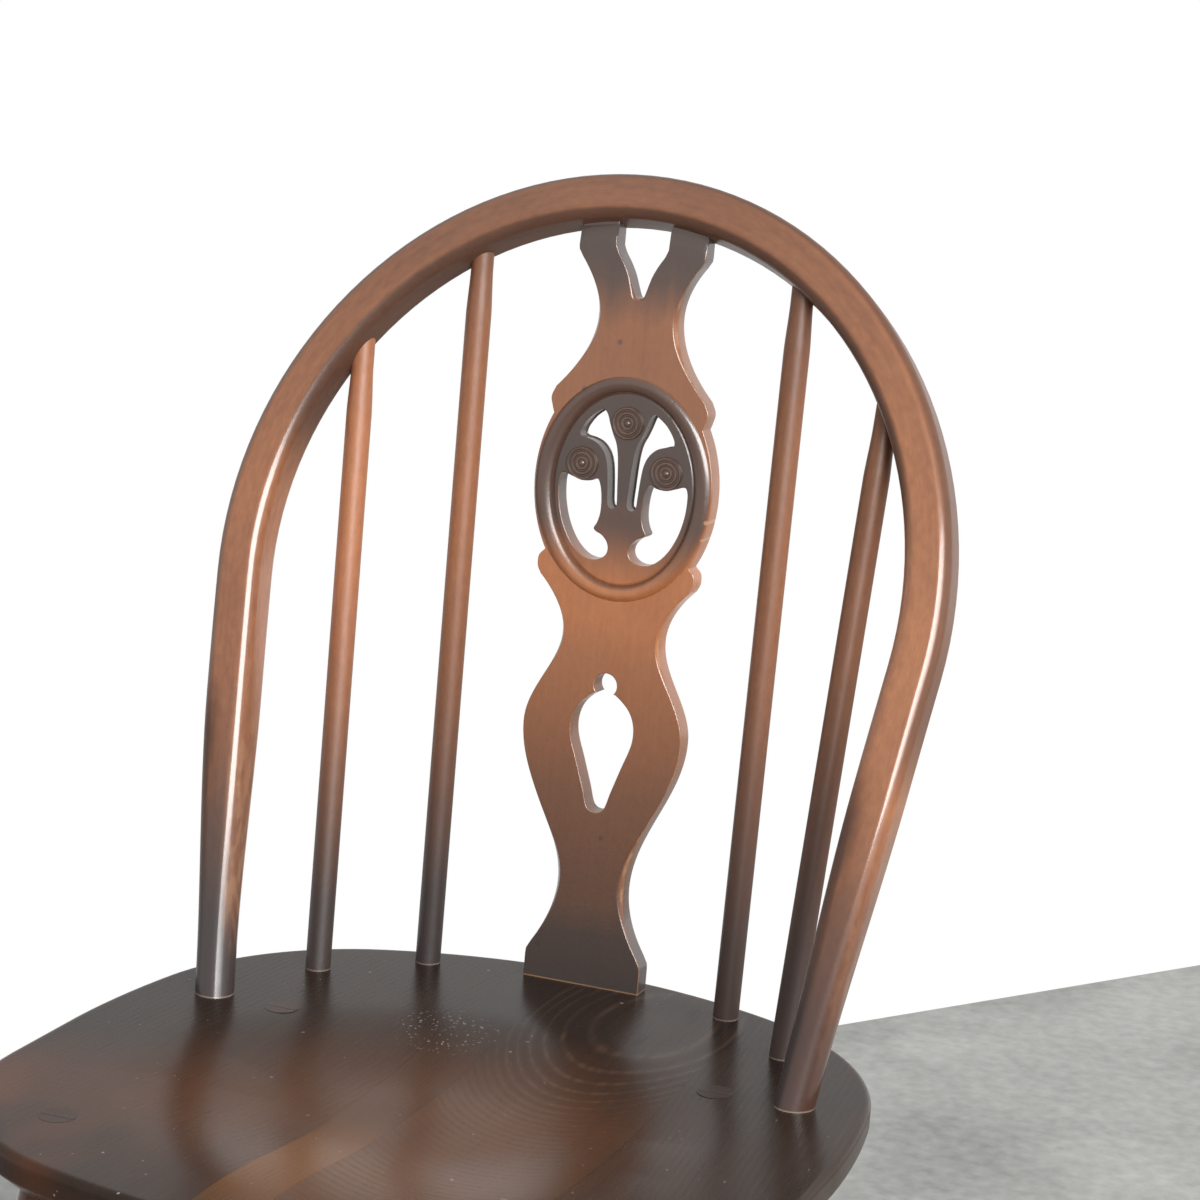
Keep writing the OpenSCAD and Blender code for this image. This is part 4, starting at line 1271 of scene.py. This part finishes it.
    def raise_ring(self, blank: Blank) -> None:
        """Adds the raised, rounded ring round the oval, with painted shade on its inner slope.

        Args:
            blank: the mesh.
        """
        outer, inner = (self.oval[0] / 2 - 0.25, self.oval[1] / 2 - 0.2), self.ring_inner
        edge, top, hidden = self.thick - 0.2, self.thick + self.proud, self.field_out - 1.4
        height, crest, steps = self.proud + 0.2, 0.4, 12
        rows = [(0.0, self.thick - 1.0), (0.0, edge)]
        for share in (k / steps for k in range(1, steps)):
            if share < crest:
                rows.append((share, edge + height * math.sin(math.pi * (share / (2 * crest))) ** 0.75))
            else:
                rows.append((share, top - height * ((share - crest) / (1 - crest)) ** 2.4))
        rows += [(0.97, self.thick - 0.8), (1.0, self.field_out - 0.5), (1.0, hidden), (0.0, hidden)]
        now = first = blank.ring(*self.oval_ring(*outer, rows[0][1]))
        for share, out in rows[1:]:
            half_a, half_b = (mix(wide, narrow, share) for wide, narrow in zip(outer, inner))
            now = blank.grow(now, *self.oval_ring(half_a, half_b, out))
            # Painted shade on the ring's inner slope, down into the groove
            blank.wear(now, [-ease((share - 0.62) / 0.3)] * len(now))
        bmesh.ops.bridge_loops(blank.bm, edges=[*blank.edges(now), *blank.edges(first)])

    def turn_boss(self, blank: Blank, x: float, z: float) -> None:
        """Adds one round boss with its rings.

        Args:
            blank: the mesh.
            x: its middle's place across.
            z: its middle's height along the splat.
        """
        turns = [2 * math.pi * k / 48 for k in range(48)]
        flat = [[(x + r * math.cos(t), self.thick + out, z + r * math.sin(t)) for t in turns]
                for r, out in self.boss_rows]
        blank.loft([[self.at(px, pz, out) for px, out, pz in ring] for ring in flat],
                   [[Vector(p) for p in ring] for ring in flat],
                   [[0.25 if out > 0.3 else 0.0] * len(turns) for _, out in self.boss_rows])

    def cut_tenons(self, blank: Blank) -> None:
        """Adds the tenons in the bow and in the seat.

        Args:
            blank: the mesh.
        """
        middle = (self.prong_w + self.fork_w) / 4
        prong = ((self.prong_w - self.fork_w) / 4 - 0.4, self.prong_shoulder - 2, self.prong_top, 4.0)
        foot = (self.foot_w / 2 - 3, -18.0, -1.0, self.thick / 2 - 0.1)
        for x, (half_w, low, high, half_d) in ((-middle, prong), (middle, prong), (0.0, foot)):
            flat = [[(x + a, self.thick / 2 + b, up) for a, b in rounded(half_w, half_d, 1.0, 3)]
                    for up in (low, high)]
            blank.loft([[self.at(px, up, out) for px, out, up in ring] for ring in flat],
                       [[Vector(p) for p in ring] for ring in flat])


@dataclass
class Spindles:
    """Four slim spindles between the seat and the arch."""

    bow: Bow
    diameter: float = 14.3
    tenon_d: float = 12.4
    taper: float = 24.0
    hole: float = 20.0
    past: float = 4.0
    clear: float = 4.0
    outer: Triple = (139.1, 51.7, 38.2)
    inner: Triple = (90.9, 8.0, 61.3)
    # Each spindle's tone scales its stain and also paints light and shade: lighter for the outer left one,
    # darker for the two on the right
    stock_and_painted_light: tuple = (("outer", Side.LEFT, 1.34), ("outer", Side.RIGHT, 0.58), ("inner", Side.LEFT, 0.96),
                    ("inner", Side.RIGHT, 0.66))

    def build(self) -> list[bpy.types.Object]:
        """Turns the four spindles.

        Returns:
            The spindles.
        """
        made = []
        for number, (word, side, tone) in enumerate(self.stock_and_painted_light):
            x, front, turn = self.outer if word == "outer" else self.inner
            name = f"{word}_{side.word}"
            # The tone paints light and shade onto this spindle's stain
            finish = Beech(
                f"spindle_beech_{name}", light=(0.475 * tone, 0.190 * tone, 0.086 * tone),
                deep=(0.295 * tone, 0.112 * tone, 0.052 * tone),
                shading=((430.0, 0.96), (470.0, 0.95), (515.0, 0.74), (557.0, 0.52), (600.0, 0.28),
                         (642.0, 0.08), (690.0, 0.0), (770.0, 0.10), (810.0, 0.28), (840.0, 0.45)),
                shaded=(0.040, 0.036, 0.036), shaded_right=(0.066, 0.043, 0.037), rough=0.46, coat=0.0,
                sheen=0.4, foot_ring=0.45).material()
            foot = Vector((x, -front, 0.0))
            made.append(self.turn(f"spindle_{name}", side, foot, turn, finish, 1.7 + 0.61 * number))
        return made

    def turn(self, node: str, side: Side, foot: Vector, turn: float, finish: bpy.types.Material,
             offset: float) -> bpy.types.Object:
        """Turns one spindle: a straight body that narrows under the bow.

        Args:
            node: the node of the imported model.
            side: the side of the chair.
            foot: the foot of the right-hand one of its pair.
            turn: where its top is, in degrees up the arch from its widest place.
            finish: its material.
            offset: how far along the timber it was cut, in metres.

        Returns:
            The spindle.
        """
        top = self.bow.middle(turn)
        start, end = (Vector((p.x * side.value, p.y, p.z)) for p in (foot, top))
        length = (end - start).length
        way = (top - foot).normalized()
        a = math.radians(turn)
        up = self.bow.rise * math.cos(a)
        arch = Vector((-self.bow.half_w * math.sin(a), up * self.bow.lean_at(top.z), up)).normalized()
        meet = math.acos(way.dot(arch))
        reach = self.bow.face / 2 / math.sin(meet) + self.tenon_d / 2 / math.tan(meet) + self.clear
        body, neck = self.diameter / 2, self.tenon_d / 2
        rows = [(-self.hole, body - 1.0), (-self.hole + 1.0, body)]
        rows += [(mix(0.0, length - reach - self.taper, k / 10), body) for k in range(11)]
        rows += [(length - reach - self.taper * (1 - k / 6), mix(body, neck, ease(k / 6) * 0.5 + k / 12))
                 for k in range(1, 7)]
        rows += [(length + self.past - 1.0, neck), (length + self.past, neck - 1.0)]
        blank = Blank(offset)
        blank.loft(*rod_sections(start, end, rows, 28))
        return blank.finish(f"turned_{node}", node, finish, Slot.SPINDLE)


@dataclass
class Seat:
    """The dished seat, glued up from four boards."""

    width: float = 428.5
    depth: float = 426.5
    rear: float = 26.8
    rear_r: float = 300.0
    shoulder_r: float = 144.0
    side_r: float = 530.0
    side_turn: float = 10.7
    corner_r: float = 131.0
    front_r: float = 416.0
    band: float = 14.0
    bevel_in: float = 22.0
    arris: float = 4.0
    dish: float = 9.0
    dish_half: Row = (165.0, 145.0)
    dish_front: float = 215.0
    dish_flat: float = 0.3
    pommel: tuple = (2.5, 38.0, 110.0)
    joints: tuple = (-39.0, -6.0, 108.0)

    def outline(self, inset: float) -> list[Row]:
        """Draws the seat's outline as tangent arcs.

        Args:
            inset: how far it is drawn in.

        Returns:
            Its points.
        """
        side_x = self.width / 2 - self.side_r
        turn = math.radians(self.side_turn)
        shoulder_x = side_x + (self.side_r - self.shoulder_r) * math.cos(turn)
        rear_turn = math.acos(shoulder_x / (self.rear_r - self.shoulder_r))
        rear_y = self.rear - self.rear_r
        shoulder_y = rear_y + (self.rear_r - self.shoulder_r) * math.sin(rear_turn)
        side_y = shoulder_y - (self.side_r - self.shoulder_r) * math.sin(turn)
        corner_x = self.width / 2 - self.corner_r
        front_turn = math.acos(corner_x / (self.front_r - self.corner_r))
        front_y = self.rear - self.depth + self.front_r
        corner_y = front_y - (self.front_r - self.corner_r) * math.sin(front_turn)
        arcs = ((0.0, rear_y, self.rear_r, math.pi / 2, rear_turn, 12),
                (shoulder_x, shoulder_y, self.shoulder_r, rear_turn, turn, 16),
                (side_x, side_y, self.side_r, turn, 0.0, 8),
                (corner_x, corner_y, self.corner_r, 0.0, -front_turn, 18),
                (0.0, front_y, self.front_r, -front_turn, -math.pi / 2, 14))
        half = []
        for x, y, radius, begin, end, steps in arcs:
            for k in range(steps):
                a = mix(begin, end, k / steps)
                half.append((x + (radius - inset) * math.cos(a), y + (radius - inset) * math.sin(a)))
        half.append((0.0, front_y - self.front_r + inset))
        return half + [(-x, y) for x, y in reversed(half[1:-1])]

    def dip(self, x: float, y: float) -> float:
        """Works out how far the seat's top lies below its rim.

        Args:
            x: the place across.
            y: the place behind the splat's face.

        Returns:
            The depth.
        """
        out = math.hypot(x / self.dish_half[0], (y + self.dish_front) / self.dish_half[1])
        bowl = 1 - ease((out - self.dish_flat) / (1 - self.dish_flat))
        high, half_w, length = self.pommel
        ridge = math.exp(-(x / half_w) ** 2) * ease((-self.dish_front - y) / length)
        return bowl * (self.dish - high * ridge)

    def sections(self) -> list[list[Vector]]:
        """Draws the seat's rings, from the underside round the edge to the middle of the dish.

        Returns:
            Their points, in millimetres.
        """
        rows = [(self.bevel_in + 4, -SEAT_THICK), (self.bevel_in + 1.2, -SEAT_THICK),
                (self.bevel_in, -SEAT_THICK + 0.3), (self.bevel_in - 1.2, -SEAT_THICK + 1.1)]
        rows += [(self.bevel_in * (1 - k / 4), mix(-SEAT_THICK, -self.band, k / 4)) for k in (1, 2, 3)]
        rows += [(1.4, -self.band - 1.2), (0.35, -self.band - 0.1), (0.0, -self.band + 1.3),
                 (0.0, (-self.band - self.arris) / 2), (0.0, -self.arris - 0.8)]
        rings = [[Vector((x, y, z)) for x, y in self.outline(inset)] for inset, z in rows]
        for k in range(7):
            a = math.radians(15 * k)
            rings.append([Vector((x, y, -self.arris * (1 - math.sin(a))))
                          for x, y in self.outline(self.arris * (1 - math.cos(a)))])
        rim = self.outline(self.arris)
        for share in [0.992, 0.975, *[0.95 - 0.035 * k for k in range(26)], 0.03]:
            ring = [(x * share, mix(-self.dish_front, y, share)) for x, y in rim]
            rings.append([Vector((x, y, -self.dip(x, y))) for x, y in ring])
        return rings

    def build(self) -> None:
        """Shapes the seat and parts it at its glue lines."""
        edges = (-self.width, *self.joints, self.width)
        names = ("seat_board_left", "seat_board_inner_left", "seat_board_inner_right", "seat_board_right")
        looks = (Elm("elm_left", (-330.0, -240.0), 4.4, self.joints[:1], slope=0.14, figure=0.06, tone=-0.08),
                 Elm("elm_inner_left", (-70.0, 120.0), 3.0, self.joints[:2], slope=0.05, figure=0.07,
                     gold=0.8),
                 Elm("elm_inner_right", (62.0, -40.0), 3.6, self.joints[1:], loops=(1.75, 36.2, 85.0),
                     figure=0.34, gold=0.25, tone=0.08, pale_share=1.5),
                 Elm("elm_right", (250.0, -200.0), 4.0, self.joints[2:], tone=-0.14))
        for number, (name, look) in enumerate(zip(names, looks)):
            self.board(name, edges[number], edges[number + 1], look, 3.1 + 0.9 * number)

    def board(self, node: str, low: float, high: float, look: Elm, offset: float) -> None:
        """Shapes the whole seat and keeps the board between two glue lines.

        Args:
            node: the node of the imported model.
            low: the glue line at its left.
            high: the glue line at its right.
            look: its wood.
            offset: how far along the timber it was cut, in metres.
        """
        blank = Blank(offset)
        rings = self.sections()
        blank.loft([[spot(*p) for p in ring] for ring in rings],
                   [[Vector((p.x, p.z, p.y)) for p in ring] for ring in rings])
        for place, way in ((low, -1), (high, 1)):
            if abs(place) >= self.width:
                continue
            geometry = [*blank.bm.verts, *blank.bm.edges, *blank.bm.faces]
            made = bmesh.ops.bisect_plane(blank.bm, geom=geometry, plane_co=(place * MM, 0, 0),
                                          plane_no=(way, 0, 0), clear_outer=True, clear_inner=False)
            rim = [e for e in made["geom_cut"] if isinstance(e, BMEdge)]
            bmesh.ops.contextual_create(blank.bm, geom=rim)
        blank.finish(f"dished_{node}", node, look.material(), Slot.SEAT, 50.0)


@dataclass(frozen=True)
class LegLine:
    """The axis of a right-hand leg: its place in the seat's top, and how far its toe stands out."""

    x: float
    y: float
    out_x: float
    out_y: float

    def at(self, z: float) -> Vector:
        """A point on the axis at a height above the floor."""
        down = (SEAT_TOP - z) / SEAT_TOP
        return Vector((self.x + self.out_x * down, self.y + self.out_y * down, z - SEAT_TOP))


@dataclass
class Undercarriage:
    """Four splayed legs, an H of stretchers, and the wedges in the tenons."""

    bow: Bow
    toe_d: float = 22.0
    belly_d: float = 32.0
    belly_z: float = 215.0
    neck_d: float = 24.0
    tenon_d: float = 19.0
    stretcher_z: float = 190.0
    stretcher_end: float = 15.5
    stretcher_mid: float = 22.0
    side_tenon: float = 14.0
    cross_tenon: float = 9.5
    proud: float = 0.10
    wedge_rows: tuple = ((20.0, 0.3), (0.4, 1.18), (-0.18, 1.2))
    front: LegLine = LegLine(146.0, -321.0, 38.0, -60.0)
    rear: LegLine = LegLine(126.0, -121.0, 50.0, 136.0)

    def leg_r(self, z: float) -> float:
        """Works out a leg's radius.

        Args:
            z: the height above the floor.

        Returns:
            The radius.
        """
        if z < self.belly_z:
            return mix(self.toe_d, self.belly_d, math.sin(math.pi / 2 * max(z, 0) / self.belly_z)) / 2
        share = min((z - self.belly_z) / (SEAT_TOP - SEAT_THICK - self.belly_z), 1.0)
        return mix(self.neck_d, self.belly_d, math.cos(math.pi / 2 * share)) / 2

    def build(self) -> None:
        """Makes the legs, the stretchers and the wedges."""
        beech = Beech("leg_beech", light=(0.36, 0.135, 0.055), deep=(0.24, 0.085, 0.036),
                      shading=((0.0, 0.75), (50.0, 0.45), (130.0, 0.15), (260.0, 0.05), (350.0, 0.45),
                               (400.0, 0.94), (431.0, 0.96)),
                      shaded=(0.056, 0.029, 0.020), shaded_right=(0.036, 0.024, 0.020), sheen=0.125,
                      dull_from=SEAT_TOP - 4).material()
        end_grain = Beech("wedge_end_grain", light=(0.07, 0.042, 0.028), deep=(0.04, 0.026, 0.021),
                          shading=((390.0, 0.3), (431.0, 0.45)), sheen=0.14, dull_from=380.0).material()
        front, rear = self.front.at(self.stretcher_z), self.rear.at(self.stretcher_z)
        foot, way = self.bow.foot()
        under = foot - way * ((self.bow.collar + SEAT_THICK) / way.z)
        number = 0
        for side in Side:
            for word, line in (("front", self.front), ("rear", self.rear)):
                toe, top = line.at(0), line.at(SEAT_TOP)
                self.leg(f"leg_{word}_{side.word}", side, toe, top, beech, 7.3 + number)
                self.wedge(f"leg_wedge_{word}_{side.word}", side, top, top - toe, self.tenon_d / 2, 1,
                           end_grain)
                number += 1
            self.stretcher(f"side_stretcher_{side.word}", side, front, rear,
                           self.leg_r(self.stretcher_z) - self.side_tenon, beech, 12.1 + number)
            self.wedge(f"bow_wedge_{side.word}", side, under, way, self.bow.foot_d / 2, -1, end_grain)
        middle = (front + rear) / 2
        self.stretcher("cross_stretcher", Side.RIGHT, middle, Vector((-middle.x, middle.y, middle.z)),
                       self.stretcher_mid / 2 - self.cross_tenon, beech, 19.7)

    def leg(self, node: str, side: Side, toe: Vector, top: Vector, finish: bpy.types.Material,
            offset: float) -> None:
        """Turns one leg, with its tenon up to the seat's top.

        Args:
            node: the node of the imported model.
            side: the side of the chair.
            toe: the foot of its axis, for the right-hand side.
            top: the top of its axis.
            finish: its material.
            offset: how far along the timber it was cut, in metres.
        """
        start, end = (Vector((p.x * side.value, p.y, p.z)) for p in (toe, top))
        length = (end - start).length
        rate = length / SEAT_TOP
        under = SEAT_TOP - SEAT_THICK
        rows = [(-12.0, self.toe_d / 2)]
        rows += [(z * rate, self.leg_r(z)) for z in (mix(0.0, under, k / 30) for k in range(31))]
        rows += [((under + 3) * rate, self.neck_d / 2), ((under + 3.5) * rate, self.tenon_d / 2),
                 (length + 8.0, self.tenon_d / 2)]
        blank = Blank(offset)
        blank.loft(*rod_sections(start, end, rows))
        blank.cut(0.0, True)
        blank.cut((SEAT_TOP + self.proud) * MM, False)
        blank.finish(f"turned_{node}", node, finish, Slot.LEG)

    def stretcher(self, node: str, side: Side, a: Vector, b: Vector, tenon: float,
                  finish: bpy.types.Material, offset: float) -> None:
        """Turns one stretcher between two points, its ends in their holes.

        Args:
            node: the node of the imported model.
            side: the side of the chair.
            a: one end of its axis, for the right-hand side.
            b: the other end.
            tenon: how far inside each end of the axis its wood ends.
            finish: its material.
            offset: how far along the timber it was cut, in metres.
        """
        start, end = (Vector((p.x * side.value, p.y, p.z)) for p in (a, b))
        length = (end - start).length
        reach = length - 2 * tenon
        rows = [(tenon, self.stretcher_end / 2 - 0.8), (tenon + 0.8, self.stretcher_end / 2)]
        for k in range(1, 32):
            share = k / 32
            swing = ease((min(share, 1 - share) - 0.077) / 0.385)
            rows.append((tenon + reach * share, mix(self.stretcher_end, self.stretcher_mid, swing) / 2))
        rows += [(tenon + reach - 0.8, self.stretcher_end / 2), (tenon + reach, self.stretcher_end / 2 - 0.8)]
        blank = Blank(offset)
        blank.loft(*rod_sections(start, end, rows))
        blank.finish(f"turned_{node}", node, finish, Slot.LEG)

    def wedge(self, node: str, side: Side, end: Vector, way: Vector, half: float, up: int,
              finish: bpy.types.Material) -> None:
        """Makes the wedge that spreads a tenon's end, in line with the tenon.

        Args:
            node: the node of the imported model.
            side: the side of the chair.
            end: the middle of the tenon's end, for the right-hand side.
            way: the tenon's direction.
            half: the tenon's radius.
            up: 1 for a tenon that ends at the top, and -1 for one below.
            finish: its material.
        """
        slope = Vector((way.x / way.z, way.y / way.z, 0.0))
        blank = Blank(23.0 + end.length * MM)
        sections, grain = [], []
        for deep, half_t in self.wedge_rows:
            middle = end + (slope + Vector((0, 0, 1))) * (-deep * up)
            ring = rounded(half - 0.25, half_t, 0.25, 3)
            sections.append([spot(side.value * (middle.x + a), middle.y + b, middle.z) for a, b in ring])
            grain.append([Vector((a, deep, b)) for a, b in ring])
        blank.loft(sections, grain)
        blank.finish(f"driven_{node}", node, finish, Slot.WEDGE)


class Seen(Enum):
    """How a lamp takes part: mirrored in the lacquer, or as light on the wood."""

    IN_GLOSS = "gloss"
    AS_LIGHT = "light"


@dataclass(frozen=True)
class Lamp:
    """One soft lamp: its place, the point it shines on, and its width and height, all in metres."""

    name: str
    place: Triple
    aim: Triple
    size: Row
    power: float
    seen: Seen

    def hang(self) -> bpy.types.Object:
        """Hangs the lamp.

        Returns:
            The lamp.
        """
        data = bpy.data.lights.new(self.name, "AREA")
        data.shape = "RECTANGLE"
        data.energy = self.power
        data.size, data.size_y = self.size
        lamp = bpy.data.objects.new(self.name, data)
        lamp.visible_glossy = self.seen is Seen.IN_GLOSS
        lamp.visible_diffuse = self.seen is Seen.AS_LIGHT
        way = Vector(self.place) - Vector(self.aim)
        turn = way.to_track_quat("Z", "Y").to_matrix().to_4x4()
        lamp.matrix_world = Matrix.Translation(self.place) @ turn
        bpy.context.scene.collection.objects.link(lamp)
        return lamp


@dataclass
class Room:
    """A plain pale floor, a white background, and soft studio light.

    Attributes:
        floor_end: two points of the line behind the chair where the floor ends, in metres.
        floor_half: half the floor's side, in metres.
        fill: how strongly the white surround lights the chair.
    """

    floor_end: tuple[Row, Row] = ((-0.1983, 1.3815), (0.0698, 1.7582))
    floor_half: float = 6.0
    stone: Stone = Stone()
    fill: float = 0.44
    window: Lamp = Lamp("window", (1.6, -1.66, 1.60), (-0.1, 0.1, 0.65), (1.9, 1.3), 150.0, Seen.IN_GLOSS)
    key: Lamp = Lamp("key_light", (1.6, -1.66, 1.38), (-0.1, 0.1, 0.65), (0.85, 0.85), 42.0, Seen.AS_LIGHT)
    side: Lamp = Lamp("side_light", (2.4, 0.3, 1.0), (0.0, 0.1, 0.6), (1.4, 1.4), 26.0, Seen.AS_LIGHT)

    def build(self) -> bpy.types.Object:
        """Lays the floor and sets the light.

        Returns:
            The window's lamp.
        """
        self.lay_floor()
        self.light_world()
        window = self.window.hang()
        self.key.hang()
        self.side.hang()
        return window

    def lay_floor(self) -> None:
        """Lays a square floor that ends on its line behind the chair."""
        (ax, ay), (bx, by) = self.floor_end
        turn = Matrix.Translation((ax, ay, 0.0)) @ Matrix.Rotation(math.atan2(by - ay, bx - ax), 4, "Z")
        bm = bmesh.new()
        bmesh.ops.create_grid(bm, x_segments=2, y_segments=2, size=self.floor_half,
                              matrix=turn @ Matrix.Translation((0.0, -self.floor_half, 0.0)))
        mesh = bpy.data.meshes.new("floor")
        bm.to_mesh(mesh)
        bm.free()
        mesh.materials.append(self.stone.material())
        floor = bpy.data.objects.new("floor", mesh)
        bpy.context.scene.collection.objects.link(floor)

    def light_world(self) -> None:
        """Makes an even surround, which the camera and reflections see as white."""
        world = bpy.data.worlds.new("studio")
        bpy.context.scene.world = world
        g = Graph(world)
        seen = g.node("ShaderNodeLightPath", {}, {}, "Is Camera Ray")
        for ray in ("Is Glossy Ray", "Is Transmission Ray"):
            seen = seen.most(g.node("ShaderNodeLightPath", {}, {}, ray))
        strength = self.fill + seen * (1.0 - self.fill)
        g.close("ShaderNodeOutputWorld", g.node("ShaderNodeBackground", {}, {
            "Color": (1.0, 1.0, 1.0), "Strength": strength}))

    @staticmethod
    def show_window_in(window: bpy.types.Object, pieces: Sequence[bpy.types.Object]) -> None:
        """Lets only these lacquered pieces mirror the window.

        Args:
            window: the window's lamp.
            pieces: the pieces.
        """
        lacquered = bpy.data.collections.new("lacquered")
        for piece in pieces:
            lacquered.objects.link(piece)
        window.light_linking.receiver_collection = lacquered


@dataclass
class Camera:
    """The camera, where the photograph was taken from.

    Attributes:
        place: where it stands, in metres.
        turn: how far it looks to the left, in radians.
        down: how far it looks down.
        roll: how far it leans to its side.
        sensor: the width and height of its frame, in millimetres.
        lens: its focal length.
        shift: how far the frame is shifted, as shares of it.
    """

    place: Triple = (0.64245, -1.49115, 1.03574)
    turn: float = 0.343085
    down: float = 0.209751
    roll: float = 0.069763
    sensor: float = 36.0
    lens: float = 99.16
    shift: Row = (-0.07105, 0.00125)

    def build(self) -> None:
        """Sets up the camera."""
        back = Vector((math.sin(self.turn) * math.cos(self.down), -math.cos(self.turn) * math.cos(self.down),
                       math.sin(self.down)))
        right = (-back).cross(Vector((0, 0, 1))).normalized()
        up = back.cross(right)
        c, s = math.cos(self.roll), math.sin(self.roll)
        side, top = right * c + up * s, up * c - right * s
        data = bpy.data.cameras.new("camera")
        data.sensor_width = self.sensor
        data.sensor_height = self.sensor
        data.lens = self.lens
        data.shift_x, data.shift_y = self.shift
        camera = bpy.data.objects.new("camera", data)
        turn = Matrix((side, top, back)).transposed().to_4x4()
        camera.matrix_world = Matrix.Translation(self.place) @ turn
        bpy.context.scene.collection.objects.link(camera)
        bpy.context.scene.camera = camera


def main() -> None:
    """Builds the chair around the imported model."""
    logging.basicConfig(level=logging.INFO, format="%(message)s")
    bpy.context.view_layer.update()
    bpy.context.scene.view_settings.view_transform = "Standard"
    Camera().build()
    room = Room()
    window = room.build()
    bow = Bow()
    room.show_window_in(window, [bow.build(), Splat(bow).build(), *Spindles(bow).build()])
    Seat().build()
    Undercarriage(bow).build()


if __name__ == "__main__":
    main()
